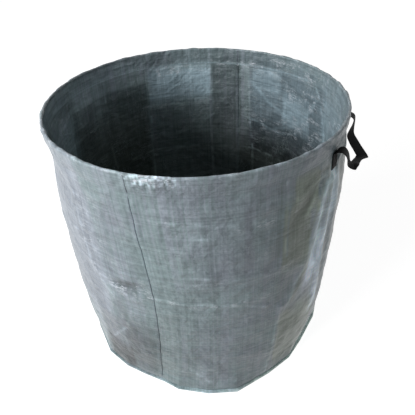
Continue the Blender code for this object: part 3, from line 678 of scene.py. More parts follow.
def wall_relief(degrees, height, sizes):
    """How far folds, bulges and crinkles push the wall out from its plain radius."""
    strength = sizes.fold_strength
    relief = crease_relief(degrees, height, CREASES, False) * strength
    relief += crease_relief(degrees, height, GATHERS, True) * strength
    for azimuth, middle, wide, tall, push in BULGES:
        x = turn_between(degrees, azimuth) / wide
        y = (height - middle) / tall
        relief += push * np.exp(-(x * x + y * y) / 2)
    for first, last in zip(FOLDS, FOLDS[1:]):
        place = np.abs(turn_between(degrees, (first + last) / 2)) / ((last - first) / 2)
        relief -= FOLD_FLATTENING * np.clip(1 - place * place, 0, 1) * strength
    around = polar_points(ARC_RADIUS, degrees, height)
    for tall, size, seed in WAVES:
        relief += tall * smooth_noise(around / np.array(size), seed)
    for size, height_share, seed in CRUMPLES:
        crumple = 1 - np.abs(smooth_noise(around / size, seed))
        relief += sizes.crinkle * height_share * (crumple - CRUMPLE_LEVEL)
    calm = ease(height, *CALM_FOOT) * (1 - ease(height, *(HEM_BOTTOM - drop for drop in CALM_HEM)))
    for azimuth in RIGHT_TABS + LEFT_TABS:
        x = np.abs(np.radians(turn_between(degrees, azimuth))) * ARC_RADIUS
        y = np.abs(height - TAB_MIDDLE)
        calm = calm * np.maximum(ease(x, *CALM_TAB_SIDE), ease(y, *CALM_TAB_TOP))
    return relief * calm


def seam_wander(degrees, height):
    """How many degrees the front seam and the cloth beside it stray from an upright line."""
    strays = np.interp(height, *zip(*SEAM_WANDER))
    return strays * np.exp(-(turn_between(degrees, FRONT_SEAM) / SEAM_WANDER_REACH) ** 2)


def near_dent(degrees):
    """1 in the crushed place on the front of the rim, and 0 away from it."""
    return np.exp(-(turn_between(degrees, DENT_MIDDLE) / DENT_HALF_WIDTH) ** 4)


def cloth_tints(degrees, height):
    """Lightness, warmth and painted glints of the cloth at arrays of places; the lightness holds painted
    light and shade.
    """
    light = np.zeros_like(height)
    warm = np.zeros_like(height)
    glint = np.zeros_like(height)
    place = polar_points(ARC_RADIUS, degrees, height)
    ragged = RAGGED_SHARE * smooth_noise(place / RAGGED_SIZE, RAGGED_SEED)
    # Each patch adds a folded panel's tone, or painted light or painted shade, to the lightness and warmth
    for azimuth, middle, wide, tall, lighter, warmer in TONE_AND_PAINTED_LIGHT_PATCHES:
        x = np.abs(turn_between(degrees, azimuth)) / wide + ragged * RAGGED_DEGREES / wide
        y = np.abs(height - middle) / tall + ragged
        share = (1 - ease(x, *TINT_SIDE_FADE)) * (1 - ease(y, *TINT_TOP_FADE))
        light += lighter * share
        warm += warmer * share
    # Painted highlight on the gathers' crests and painted shadow in their hollows
    light += np.maximum(GATHER_SHEEN * crease_relief(degrees, height, GATHERS, True), GATHER_SHADOW)
    marks = [(line, 1.0, 1.0, CREASE_MARK) for line, first, last, width in CREASES]
    # Patches of wear and painted highlight along the crease lines, which also break up the streaks
    worn = np.clip(WEAR_AND_HIGHLIGHT_LEVEL + WEAR_AND_HIGHLIGHT_SPREAD * smooth_noise(place / WEAR_AND_HIGHLIGHT_SIZE, WEAR_AND_HIGHLIGHT_SEED), 0, 2)
    light += CREASE_WEAR_AND_HIGHLIGHT * worn * np.minimum(crease_relief(degrees, height, marks, True), 1.0)
    # Painted highlights and painted shade along the streaks' lines
    for line, lighter, warmer, width in PAINTED_LIGHT_STREAKS:
        share = crease_relief(degrees, height, [(line, 1.0, 1.0, width)], True)
        light += lighter * share * (1 - STREAK_PATCHINESS + STREAK_PATCHINESS * worn)
        warm += warmer * share
    # Where the painted glints show
    for azimuth, middle, wide, tall, strength in GLINTS:
        x = turn_between(degrees, azimuth) / wide
        y = (height - middle) / tall
        glint = np.maximum(glint, strength * np.exp(-(x**4) - y * y))
    return light, warm, glint


# Meshes

def read(items, label, width=1):
    """A property of every item of a mesh, as rows of an array."""
    values = np.zeros(len(items) * width, np.int32 if label == "vertex_index" else np.float32)
    items.foreach_get(label, values)
    return values.reshape(-1, width) if width > 1 else values


def mark(data, label, values):
    """Put a value on every point of a mesh."""
    attribute = data.attributes.get(label) or data.attributes.new(label, "FLOAT", "POINT")
    attribute.data.foreach_set("value", values.astype(np.float32))


def mesh_of(name, points, faces, flat, marks=(), caps=()):
    """A mesh of the points that its faces use, with a place in the flat cloth and marks for every point.

    Caps are faces with more corners, for a mesh that uses all its points."""
    used, corners = np.unique(faces, return_inverse=True)
    data = bpy.data.meshes.new(name)
    data.from_pydata(points[used].tolist(), [], [*corners.reshape(faces.shape).tolist(), *caps])
    places = flat[used][read(data.loops, "vertex_index")]
    data.uv_layers.new(name="cloth").data.foreach_set("uv", places.reshape(-1).astype(np.float32))
    for label, values in zip(MARKS, marks):
        mark(data, label, values[used])
    return data


def grid_faces(rows, columns, closed=False):
    """Four corners of each face of a grid of points, which may close on itself along its rows."""
    index = np.arange(rows * columns).reshape(rows, columns)
    if closed:
        index = np.concatenate([index, index[:, :1]], 1)
    return np.stack([index[:-1, :-1], index[:-1, 1:], index[1:, 1:], index[1:, :-1]], -1)


def sheet_mesh(name, points, flat, tints, faces, caps=()):
    """A mesh of a grid of points (rows, columns, 3) with the tints as marks."""
    return mesh_of(name, points.reshape(-1, 3), faces.reshape(-1, 4), flat.reshape(-1, 2),
                   [values.reshape(-1) for values in tints], caps)


def turn_outwards(data):
    """Make a mesh's faces all point the same way, outwards where it is closed."""
    shape = bmesh.new()
    shape.from_mesh(data)
    bmesh.ops.recalc_face_normals(shape, faces=shape.faces)
    shape.to_mesh(data)
    shape.free()


def smooth_sheet(data, corner=50):
    """Shade a mesh smooth but for its sharp corners."""
    data.shade_smooth()
    data.set_sharp_from_angle(angle=math.radians(corner))


def new_piece(name, data, material):
    """An object with one material, linked to the scene."""
    piece = bpy.data.objects.new(name, data)
    bpy.context.scene.collection.objects.link(piece)
    data.materials.clear()
    data.materials.append(material)
    return piece


def settle(piece):
    """Turn a piece and its modifiers into a plain mesh."""
    bpy.context.view_layer.update()
    depsgraph = bpy.context.evaluated_depsgraph_get()
    evaluated = piece.evaluated_get(depsgraph)
    data = bpy.data.meshes.new_from_object(evaluated, preserve_all_data_layers=True, depsgraph=depsgraph)
    old = piece.data
    piece.modifiers.clear()
    piece.data = data
    bpy.data.meshes.remove(old)
    data.name = piece.name
    return data


def cloth_piece(name, data, material):
    """A piece of cloth as thick as the bag's, from a mesh of its middle."""
    piece = new_piece(name, data, material)
    modifier = piece.modifiers.new("thickness", "SOLIDIFY")
    modifier.thickness = CLOTH
    modifier.offset = 0.0
    smooth_sheet(settle(piece))
    return piece


def line_inside(piece):
    """Mark the side of the cloth that faces into the bag, with painted shade, darker and warmer low down."""
    data = piece.data
    places = read(data.vertices, "co", 3)
    normals = read(data.vertices, "normal", 3)
    away = places[:, :2] / np.linalg.norm(places[:, :2], axis=1)[:, None]
    inner = ease(-(normals[:, :2] * away).sum(1), *INNER_FACING)
    low = 1 - ease(places[:, 2], *INNER_FADE)
    for label, push in (("light", -INNER_PAINTED_SHADE * (INNER_LEAST + low)), ("warm", INNER_SHADE_WARMTH * low)):
        mark(data, label, read(data.attributes[label].data, "value") + push * inner)
    mark(data, "inner", inner)
    return piece


def cut_across(piece, name, level):
    """Cut a thick sheet along its mesh's row at a height. What is above it becomes a piece of its own.

    Both pieces are closed at the cut and keep the whole sheet's shading there."""
    whole = piece.data
    places = read(whole.vertices, "co", 3)
    places[np.abs(places[:, 2] - level) < CLOTH, 2] = level
    normals = read(whole.vertices, "normal", 3)
    faces = read(whole.loops, "vertex_index").reshape(-1, 4).astype(np.int64)
    flat = np.zeros((len(places), 2), np.float32)
    flat[faces.reshape(-1)] = read(whole.uv_layers["cloth"].data, "uv", 2)
    marks = [read(whole.attributes[label].data, "value") for label in MARKS]
    count = len(places)
    other_side = count // 2
    after = np.roll(faces, -1, 1)
    above = places[faces, 2].mean(1) > level
    made = []
    for label, kept in ((piece.name, ~above), (name, above)):
        at_cut = np.isin(faces * count + after, (after * count + faces)[~kept])
        at_cut &= kept[:, None] & (np.maximum(faces, after) < other_side)
        start = faces[at_cut]
        end = after[at_cut]
        caps = np.stack([end, start, start + other_side, end + other_side], -1)
        corners = np.concatenate([faces[kept], caps])
        data = mesh_of(label, places, corners, flat, marks)
        smooth_sheet(data)
        shared = np.isin(corners, caps)
        shared[len(corners) - len(caps):] = False
        kept_normals = np.where(shared[..., None], normals[corners], 0)
        data.normals_split_custom_set(kept_normals.reshape(-1, 3).tolist())
        made.append(data)
    piece.data = made[0]
    piece.data.materials.append(whole.materials[0])
    top = new_piece(name, made[1], whole.materials[0])
    bpy.data.meshes.remove(whole)
    piece.data.name = piece.name
    return piece, top


def seam_place(depth, side=0.0):
    """How far sideways and inwards a side seam's allowance lies at a depth, and beside it at a distance."""
    past = depth - SEAM_BEND
    sideways = math.sin(SEAM_LEAN) * past + side * math.cos(SEAM_LEAN)
    return sideways, SEAM_BEND + math.cos(SEAM_LEAN) * past - side * math.sin(SEAM_LEAN)


def panel_columns(first, last, cell):
    """Azimuths of a panel's columns and how far in each lies at the side seams."""
    count = round(math.radians(last - first) * ARC_RADIUS / cell)
    middle = [(azimuth, 0.0) for azimuth in np.linspace(first, last, count + 1)[1:-1]]
    ends = []
    for azimuth, way in ((first, 1), (last, -1)):
        end = [seam_place(depth, way * LAYER / 2) for depth in ALLOWANCE_COLUMNS]
        for place in BEND_COLUMNS:
            inset = SEAM_BEND - math.sqrt(SEAM_BEND**2 - max(SEAM_BEND - place, 0) ** 2)
            end.append((way * (LAYER / 2 + place), inset))
        ends.append([(azimuth + math.degrees(sideways / ARC_RADIUS), inset) for sideways, inset in end])
    return np.array([*ends[0], *middle, *reversed(ends[1])]).T


def wall_rows(cell):
    """Heights of the wall's rows, and how far out each lies."""
    top = HEM_BOTTOM - BODY_END
    body = np.linspace(BODY_START, top, round((top - BODY_START) / cell) + 1)
    body[np.argmin(np.abs(body - FOLD_LINE))] = FOLD_LINE
    heights = [*(FOOT_LAYER + rise for rise, out in FOOT_ROWS), *FOOT_HEIGHTS, *body, HEM_BOTTOM,
               HEM_BOTTOM + HEM_TUCK]
    outs = np.zeros(len(heights))
    outs[:len(FOOT_ROWS)] = [out for rise, out in FOOT_ROWS]
    return np.array(heights), outs


def seam_opening(height):
    """1 where a side seam stands open, and 0 at the wall's foot and under the hem."""
    return ease(height, *SEAM_OPENS) * (1 - ease(height, *(HEM_BOTTOM - drop for drop in SEAM_CLOSES)))


def off_seams(degrees, first, last):
    """Degrees to the nearer one of a panel's side seams."""
    return np.minimum(np.abs(turn_between(degrees, first)), np.abs(turn_between(degrees, last)))


def near_slit(degrees):
    """1 at the slit at the lower right, and 0 away from it."""
    return np.exp(-(turn_between(degrees, SLIT_MIDDLE) / SLIT_HALF_WIDTH) ** 4)


def wall_radii(degrees, height, out, edge, sizes):
    """Radii of the wall with its folds, the bulge of its foot and the pucker beside its seams."""
    radius = plain_radius(degrees, height) + wall_relief(degrees, height, sizes) + out
    bulge = FOOT_BULGE * (1 - near_slit(degrees)) * ease(height, *FOOT_BULGE_START)
    radius += bulge * (1 - ease(height, *FOOT_BULGE_END))
    tall, size, seed = PUCKER
    pucker = tall * smooth_noise(np.stack([height / size, edge * 0, height * 0], -1), seed)
    return radius + pucker * seam_opening(height) * (1 - ease(edge, *PUCKER_REACH))


def wall_tints(degrees, height):
    """The cloth's tints, with painted light on the wall's foot and painted shade low in the slit."""
    slit = near_slit(degrees)
    light, warm, glint = cloth_tints(degrees, height)
    # Painted light on the foot, and painted shade low in the slit
    foot_light = FOOT_PAINTED_LIGHT * share_round(LIP_EDGE_SHARES, degrees)
    light += foot_light * (1 - ease(height, 0.0, FOOT_LIGHT_FADE)) * (1 - slit)
    light -= slit * (1 - ease(height, *SLIT_SHADE_FADE))
    return light, warm, glint


def wall_panel(name, first, last, material, sizes):
    """Half of the wall: its foot turned out, its side edges turned in, creased and crinkled."""
    azimuths, insets = panel_columns(first, last, sizes.cell)
    heights, outs = wall_rows(sizes.cell)
    degrees, height = np.meshgrid(azimuths, heights)
    out = np.repeat(outs[:, None], len(azimuths), 1)
    inset = np.repeat(insets[None, :], len(heights), 0)
    seam = seam_opening(height)
    room = math.degrees(LAYER / 2 / ARC_RADIUS)
    closing = (1 - seam) * room * SEAM_CLOSED_SHARE
    degrees = degrees - closing * np.clip(2 - (degrees - first) / room, 0, 1)
    degrees = degrees + closing * np.clip(2 - (last - degrees) / room, 0, 1)
    turned = len(ALLOWANCE_COLUMNS)
    softened = inset * (SEAM_SOFT_SHARE + (1 - SEAM_SOFT_SHARE) * seam)
    softened[:, :turned] = inset[:, :turned]
    softened[:, -turned:] = inset[:, -turned:]
    radius = wall_radii(degrees, height, out, off_seams(degrees, first, last), sizes)
    points = polar_points(radius - softened, degrees + seam_wander(degrees, height), height)
    flat = np.stack([np.radians(degrees) * ARC_RADIUS - inset, height], -1)
    faces = grid_faces(*height.shape)
    outside = (heights[:-1] < OUTSIDE_BELOW) | (heights[1:] > HEM_BOTTOM - OUTSIDE_ABOVE)
    kept = np.ones(faces.shape[:2], bool)
    kept[outside, :turned] = False
    kept[outside, -turned:] = False
    data = sheet_mesh(name, points, flat, wall_tints(degrees, height), faces[kept])
    return line_inside(cloth_piece(name, data, material))


def hem_rows():
    """Rows of the hem from its outer lower edge over the hoop to its inner one: side, height, arc's turn."""
    heights = [HEM_BOTTOM, HEM_BOTTOM + HEM_FIRST_ROW, *(STITCH_LINE + rise for rise in HEM_ROWS)]
    rows = [(1, height, None) for height in heights]
    rows += [(0, None, turn) for turn in np.radians(np.linspace(*HEM_ARC))]
    return rows + [(-1, height, None) for height in reversed(heights)]


def hem_columns(first, last):
    """Azimuths of the columns of a half of the hem, closer at its ends and in the crushed place."""
    room = math.degrees(HALF_CLOTH / 10 / WAIST_RADIUS)
    count = round(math.radians(last - first) * ARC_RADIUS / HEM_CELL)
    azimuths = np.linspace(first + room, last - room, count + 1)
    beside = np.degrees(np.array(HEM_END_COLUMNS) / WAIST_RADIUS)
    azimuths = np.concatenate([azimuths, azimuths[0] + beside, azimuths[-1] - beside])
    if abs(turn_between(azimuths, DENT_MIDDLE)).min() < 1:
        before, after, crowd = CRUSHED_COLUMNS
        azimuths = np.concatenate([azimuths, np.linspace(DENT_MIDDLE + before, DENT_MIDDLE + after, crowd)])
    return np.unique(azimuths.round(4))


def hem_side(azimuths, side, height, wave, fine, groove):
    """Radii of a row of the hem's outer or inner side, puckered along its stitches."""
    around = polar_points(ARC_RADIUS, azimuths, 0)
    row_tall, row_wide, row_high, row_seed = HEM_ROW_WAVE
    crush_wide, crush_high, crush_seed = DENT_CRUSH
    climb = (height - HEM_BOTTOM) / (HOOP_HEIGHT - HEM_BOTTOM)
    low = WAIST_RADIUS + side * LAYER
    high = HOOP_RADIUS + side * HEM_ARCH
    puff = max(0.0, math.sin(math.pi * min(max((height - STITCH_LINE) / PUFF_RISE, 0), 1)))
    row_wave = smooth_noise(around / row_wide + np.array([0, 0, height / row_high]), row_seed + side)
    push = side * puff * (PUFF + HEM_WAVE[0] * wave + row_tall * row_wave)
    push += side * HEM_FINE[0] * (1 + fine) * (height < STITCH_LINE)
    push -= side * SEAM_GROOVE * groove
    crush = smooth_noise(around / crush_wide + np.array([0, 0, height / crush_high]), crush_seed)
    push += side * puff * near_dent(azimuths) * DENT_DEPTH * crush
    return low + climb * (high - low) + push


def hem_arc(turn, wave, fine, lump):
    """Radii and heights of a row of the hem where it arches over the hoop, lumpy at the side seams."""
    arch = HEM_ARCH + ARCH_WAVE[0] * np.maximum(wave, ARCH_WAVE[1])
    arch = arch + ARCH_FINE[0] * np.maximum(fine, ARCH_FINE[1]) + SEAM_LUMP * lump
    return HOOP_RADIUS + arch * math.cos(turn), HOOP_HEIGHT + arch * math.sin(turn) - SEAM_LUMP_DROP * lump


def hem_tints(azimuths, points, rows, fine, groove):
    """Tints of the hem: weaker than the wall's, lighter inside, with wear and painted light on the rim's
    edge.
    """
    degrees = np.repeat(azimuths[None, :], len(rows), 0)
    level = np.clip(points[..., 2], HEM_BOTTOM, BAG_HEIGHT)
    light, warm, glint = cloth_tints(degrees, level)
    inside = np.array([side == -1 for side, height, turn in rows], float)[:, None]
    ring = np.array([max(math.sin(turn or 0.0), 0.0) for side, height, turn in rows])[:, None]
    light = light * (HEM_TINT_SHARE + HEM_INSIDE_TINT_SHARE * inside)
    light = light + inside * share_round(HEM_INSIDE_SHARES, azimuths)[None, :]
    # The rim's edge: wear, and a painted highlight strongest at the front
    worn = RING_EDGE_LEVEL * (1 + fine) * share_round(RIM_EDGE_SHARES, azimuths)
    light += RING_WEAR_AND_HIGHLIGHT * ring * worn[None, :]
    seen = np.where(np.abs(turn_between(degrees, REAR_SEAM)) < 90, inside, 1 - inside)
    glint = np.maximum(glint * seen, RING_GLINT * ring)
    warm = HEM_WARM_SHARE * warm - HEM_COOLNESS
    # Painted highlight on the top of the crushed place
    size, seed, level_share, spread, most = DENT_HIGHLIGHT_SPECKS
    specks = np.clip(level_share + spread * smooth_noise(points / size, seed), 0, most)
    light += near_dent(degrees) * (1 - inside) * ease(level, *DENT_HIGHLIGHT_HEIGHTS) * specks * DENT_PAINTED_HIGHLIGHT
    # Painted shade in the side seams' grooves
    light -= SEAM_GROOVE_SHADE * groove[None, :] * (1 - inside) * (1 - ring)
    return light, warm, glint


def rim_hem(name, first, last, material):
    """Half of the casing round the hoop."""
    azimuths = hem_columns(first, last)
    rows = hem_rows()
    around = polar_points(ARC_RADIUS, azimuths, 0)
    wave = smooth_noise(around / HEM_WAVE[1], HEM_WAVE[2])
    fine = smooth_noise(around / HEM_FINE[1], HEM_FINE[2])
    off_seam = off_seams(azimuths, first, last)
    lump = np.exp(-((off_seam / SEAM_LUMP_WIDTH) ** 2))
    groove = np.exp(-(np.radians(off_seam) * RIM_RADIUS / SEAM_GROOVE_WIDTH) ** 2)
    along = np.radians(azimuths) * ARC_RADIUS
    points = []
    flat = []
    run = 0.0
    for side, height, turn in rows:
        if turn is None:
            row = polar_points(hem_side(azimuths, side, height, wave, fine, groove), azimuths, height)
        else:
            radius, level = hem_arc(turn, wave, fine, lump)
            row = polar_points(radius, azimuths, level)
        if points:
            run += float(np.linalg.norm(row[0] - points[-1][0]))
        points.append(row)
        flat.append(np.stack([along, np.full_like(along, HEM_BOTTOM + run)], -1))
    points = np.array(points)
    tints = hem_tints(azimuths, points, rows, fine, groove)
    data = sheet_mesh(name, points, np.array(flat), tints, grid_faces(*points.shape[:2]))
    return line_inside(cloth_piece(name, data, material))


def base_cloth(name, material):
    """The floor of the bag with its edge turned up and back over the wall's foot."""
    azimuths = np.arange(BASE_COLUMNS) * 360 / BASE_COLUMNS
    edge = outline_radius(azimuths)
    ridge_tall, ridge_wide = BASE_RIDGE
    rows = []
    for share in BASE_ROW_SHARES:
        place = polar_points(edge * share, azimuths, 0)
        wrinkle = sum(tall * np.abs(smooth_noise(place / size, seed)) for tall, size, seed in BASE_WRINKLES)
        ridge = np.abs(place[:, :2] - np.array(BASE_RIDGES_CROSS)).min(1)
        wrinkle += ridge_tall * np.exp(-ridge / ridge_wide)
        place[:, 2] = HALF_CLOTH + wrinkle * (1 - float(ease(np.array(share), *BASE_CALM_SHARES)))
        rows.append(place)
    for inset, level in ((0.0, HALF_CLOTH + LIP_TURN), *((inset, LIP_LAYER) for inset in LIP_ROWS)):
        rows.append(polar_points(edge - inset, azimuths, level))
    points = np.array(rows).astype(np.float32).astype(float)
    light = np.zeros(points.shape[:2])
    # Painted light on the lip, strongest where it lies in the bag's shadow
    light[len(BASE_ROW_SHARES) - 1:] = LIP_PAINTED_LIGHT * share_round(LIP_EDGE_SHARES, azimuths)
    warm = np.where(light > 0, LIP_WARMTH * share_round(LIP_WARM_SHARES, azimuths)[None, :], 0.0)
    faces = grid_faces(*light.shape, closed=True)
    hub = [list(reversed(range(BASE_COLUMNS)))]
    data = sheet_mesh(name, points, points[..., :2] + BASE_CLOTH_SHIFT, (light, warm, 0 * light), faces, hub)
    turn_outwards(data)
    return cloth_piece(name, data, material)


# Nodes

class Graph:
    """Short ways to add and join the nodes of one tree."""

    def __init__(self, tree):
        self.nodes = tree.nodes
        self.links = tree.links

    def put(self, slot, value):
        """Join a socket to another, or give it a value."""
        if isinstance(value, bpy.types.NodeSocket):
            self.links.new(value, slot)
        else:
            slot.default_value = (*value, 1.0) if slot.type == "RGBA" else value

    def add(self, kind, given=None, **settings):
        """The outputs of a new node with these inputs and settings."""
        node = self.nodes.new(kind)
        for key, value in settings.items():
            setattr(node, key, value)
        for key, value in (given or {}).items():
            self.put(node.inputs[key], value)
        return node.outputs

    def math(self, operation, *values):
        """A math node's result."""
        return self.add("ShaderNodeMath", dict(enumerate(values)), operation=operation)[0]

    def times(self, first, second):
        """Two values multiplied."""
        return self.math("MULTIPLY", first, second)

    def scaled(self, value, share, more):
        """A value times a share, plus more."""
        return self.math("MULTIPLY_ADD", value, share, more)

    def halfway(self, first, second):
        """The mean of two values."""
        return self.math("ADD", self.times(first, 0.5), self.times(second, 0.5))

    def wave(self, value, length):
        """A sine that repeats after a length in metres."""
        return self.math("SINE", self.times(value, 2 * math.pi / length))

    def mix(self, share, first, second):
        """Two colours mixed."""
        return self.add("ShaderNodeMix", {0: share, 6: first, 7: second}, data_type="RGBA")[2]

    def noise(self, vector, scale, detail=2.0, roughness=0.5, distortion=0.0, output="Fac"):
        """A noise, or its colour."""
        given = {"Vector": vector, "Scale": scale, "Detail": detail, "Roughness": roughness,
                 "Distortion": distortion}
        return self.add("ShaderNodeTexNoise", given)[output]

    def stretch(self, vector, scale, turn=0.0):
        """A vector scaled along each axis and turned about Z."""
        given = {"Vector": vector, "Scale": scale, "Rotation": (0.0, 0.0, turn)}
        return self.add("ShaderNodeMapping", given)["Vector"]

    def streaks(self, vector, scale, detail=3.0, roughness=0.6, distortion=0.0, turn=0.0):
        """A noise that is stretched along one axis."""
        return self.noise(self.stretch(vector, scale, turn), 1.0, detail, roughness, distortion)

    def spread(self, value, low, high, to_low=0.0, to_high=1.0):
        """A value moved smoothly from one range to another."""
        given = {"Value": value, "From Min": low, "From Max": high, "To Min": to_low, "To Max": to_high}
        return self.add("ShaderNodeMapRange", given, interpolation_type="SMOOTHSTEP")["Result"]

    def ridges(self, vector, scale, turn, distortion, width):
        """1 along thin lines where a stretched noise crosses its middle value, and 0 away from them."""
        value = self.streaks(vector, scale, 4.0, 0.62, distortion, turn)
        return self.spread(self.math("ABSOLUTE", self.math("SUBTRACT", value, 0.5)), 0.0, width, 1.0, 0.0)

    def warp(self, vector, scale, reach):
        """A vector moved a little by a noise."""
        given = {0: self.noise(vector, scale, 1.0, output="Color"), 1: (reach, reach, reach), 2: vector}
        return self.add("ShaderNodeVectorMath", given, operation="MULTIPLY_ADD")[0]

    def bump(self, height, distance, strength=1.0, normal=None):
        """A bumpy normal on top of another."""
        given = {"Distance": distance, "Strength": strength, "Height": height}
        if normal is not None:
            given["Normal"] = normal
        return self.add("ShaderNodeBump", given)["Normal"]

    def tint(self, colour, tone):
        """A colour times a grey value that varies over the surface."""
        grey = self.add("ShaderNodeCombineXYZ", {0: tone, 1: tone, 2: tone})[0]
        return self.add("ShaderNodeVectorMath", {0: colour, 1: grey}, operation="MULTIPLY")[0]


# Stitches

def stitch_nodes():
    """Geometry Nodes: stitches of a given length and thickness along a path."""
    tree = bpy.data.node_groups.new("stitches along a path", "GeometryNodeTree")
    face = tree.interface
    face.new_socket("Path", in_out="INPUT", socket_type="NodeSocketGeometry")
    for name, value in (("Stitch length", 0.005), ("Thread radius", THREAD / 2), ("Gap share", 0.2),
                        ("Slant", 0.0)):
        face.new_socket(name, in_out="INPUT", socket_type="NodeSocketFloat").default_value = value
    face.new_socket("Thread", in_out="INPUT", socket_type="NodeSocketMaterial")
    face.new_socket("Stitches", in_out="OUTPUT", socket_type="NodeSocketGeometry")
    graph = Graph(tree)
    given = graph.add("NodeGroupInput")
    length, radius = given["Stitch length"], given["Thread radius"]
    path = graph.add("GeometryNodeMeshToCurve", {"Mesh": given["Path"]})["Curve"]
    spots = graph.add("GeometryNodeCurveToPoints", {"Curve": path, "Length": length}, mode="LENGTH")
    ball = graph.add("GeometryNodeMeshUVSphere", {"Segments": 8, "Rings": 6, "Radius": 1.0})["Mesh"]
    half = graph.times(graph.times(length, graph.math("SUBTRACT", 1.0, given["Gap share"])), 0.5)
    size = graph.add("ShaderNodeCombineXYZ", {"X": radius, "Y": radius, "Z": half})[0]
    tilt = graph.add("ShaderNodeCombineXYZ", {"X": given["Slant"]})[0]
    shaped = graph.add("GeometryNodeTransform", {
        "Geometry": ball, "Rotation": tilt, "Scale": size})["Geometry"]
    placed = graph.add("GeometryNodeInstanceOnPoints", {
        "Points": spots["Points"], "Instance": shaped, "Rotation": spots["Rotation"]})["Instances"]
    real = graph.add("GeometryNodeRealizeInstances", {"Geometry": placed})["Geometry"]
    coated = graph.add("GeometryNodeSetMaterial", {"Geometry": real, "Material": given["Thread"]})["Geometry"]
    graph.add("NodeGroupOutput", {"Stitches": coated})
    return tree


def stitched_paths(name, paths, closed, length, radius, material, gap=STITCH_GAP_SHARE):
    """Stitches along rows of points, made by the stitch nodes and turned into a plain mesh."""
    tree = bpy.data.node_groups.get("stitches along a path") or stitch_nodes()
    points = []
    edges = []
    for path in paths:
        start = len(points)
        points += [tuple(point) for point in path]
        edges += [(index, index + 1) for index in range(start, len(points) - 1)]
        if closed:
            edges.append((len(points) - 1, start))
    data = bpy.data.meshes.new(name)
    data.from_pydata(points, edges, [])
    piece = new_piece(name, data, material)
    modifier = piece.modifiers.new("stitches", "NODES")
    modifier.node_group = tree
    sockets = {item.name: item.identifier for item in tree.interface.items_tree if item.in_out == "INPUT"}
    for label, value in (("Stitch length", length), ("Thread radius", radius), ("Gap share", gap),
                         ("Slant", STITCH_SLANT), ("Thread", material)):
        modifier[sockets[label]] = value
    settle(piece).shade_smooth()
    return piece


# Handles

def smooth_row(row, steps):
    """A row of vectors with points added on a smooth curve through them."""
    row = np.array(row, float)
    padded = np.concatenate([row[:1], row, row[-1:]])
    made = []
    for a, b, c, d in zip(padded, padded[1:], padded[2:], padded[3:]):
        for step in range(steps):
            share = step / steps
            made.append(0.5 * (2 * b + (c - a) * share + (2 * a - 5 * b + 4 * c - d) * share**2
                               + (3 * b - a - 3 * c + d) * share**3))
    made.append(row[-1])
    return np.array(made)


def handle_frame(name, tabs):
    """Matrix of a handle's hinge, with x outwards, y along the hinge and z up, and half its span."""
    place = HANDLE_HINGES[name]
    middle = math.radians(sum(tabs) / 2)
    half = math.radians((tabs[1] - tabs[0]) / 2)
    half_span = (math.hypot(place.x, place.y) - HINGE_REACH) * math.tan(half)
    return Matrix.Translation(place) @ Matrix.Rotation(middle, 4, "Z"), half_span


def wall_radius(azimuth, height):
    """Radius of the flat-sided wall of the part at the middle of a sewn end."""
    return float(plain_radius(np.array(azimuth), np.array(height))) * WALL_FACET_SHARE


def tab_stations(tabs, end, frame_matrix):
    """Middle and half width of the strap from the bottom of a sewn end to just short of the hinge."""
    azimuth = tabs[end]
    angle = math.radians(azimuth)
    side = (-1, 1)[end]
    flat_half = Vector((-math.sin(angle), math.cos(angle), 0))
    hinge_half = frame_matrix.to_3x3() @ Vector((0, 1, 0))
    stations = []
    for height in np.linspace(TAB_BOTTOM, TAB_TOP, 5):
        radius = wall_radius(azimuth, height)
        radius += HALF_CLOTH + GAP + WEBBING / 2
        middle = Vector((radius * math.cos(angle), radius * math.sin(angle), float(height)))
        stations.append((middle, flat_half))
    top = frame_matrix.inverted() @ stations[-1][0]
    for out_share, rise_share in STUB_SHARES:
        local = Vector((top.x * (1 - out_share), top.y, top.z + STUB_RISE * rise_share))
        stations.append((frame_matrix @ local, flat_half.lerp(hinge_half, out_share)))
    return [(middle, half * side) for middle, half in stations]


def strap_stations(name, tabs, shares, reach, drop):
    """The whole strap, from the bottom of one sewn end to the bottom of the other."""
    frame_matrix, half_span = handle_frame(name, tabs)
    turn = frame_matrix.to_3x3()
    rear = tab_stations(tabs, 1, frame_matrix)
    front = tab_stations(tabs, 0, frame_matrix)
    loop = []
    for out, along, down, half_out, half_along, half_down in shares:
        middle = frame_matrix @ Vector((out * reach, along * half_span, -down * drop))
        half = turn @ Vector((half_out, half_along, -half_down)).normalized()
        loop.append((middle, half))
    return rear + loop + list(reversed(front))


def strap_course(stations):
    """Middles, half widths and outward faces along a smooth course through a strap's stations."""
    row = smooth_row([(*middle, *half) for middle, half in stations], STRAP_STEPS)
    middles = row[:, :3]
    halves = row[:, 3:] / np.linalg.norm(row[:, 3:], axis=1)[:, None]
    steps = np.linalg.norm(np.diff(middles, axis=0), axis=1)
    keep = np.concatenate([[True], steps > STRAP_LEAST_STEP])
    middles = middles[keep]
    halves = halves[keep]
    ahead = np.gradient(middles, axis=0)
    ahead /= np.linalg.norm(ahead, axis=1)[:, None]
    faces_out = np.cross(ahead, halves)
    faces_out /= np.linalg.norm(faces_out, axis=1)[:, None]
    for index in range(1, len(faces_out)):
        if np.dot(faces_out[index], faces_out[index - 1]) < 0:
            faces_out[index] = -faces_out[index]
    return middles, halves, faces_out


def strap_section():
    """Places across the strap, and outwards, of the corners round its section."""
    edge = np.array(STRAP_EDGE_SHARES)
    middle = np.linspace(*STRAP_MIDDLE_SHARES)
    across = np.concatenate([-edge[:, 0], middle, edge[::-1, 0]])
    thick = np.concatenate([edge[:, 1], np.ones_like(middle), edge[::-1, 1]])
    ring_across = np.concatenate([across, across[::-1]]) * WEBBING_WIDTH / 2
    ring_thick = np.concatenate([thick, -thick[::-1]]) * WEBBING / 2
    return ring_across, ring_thick


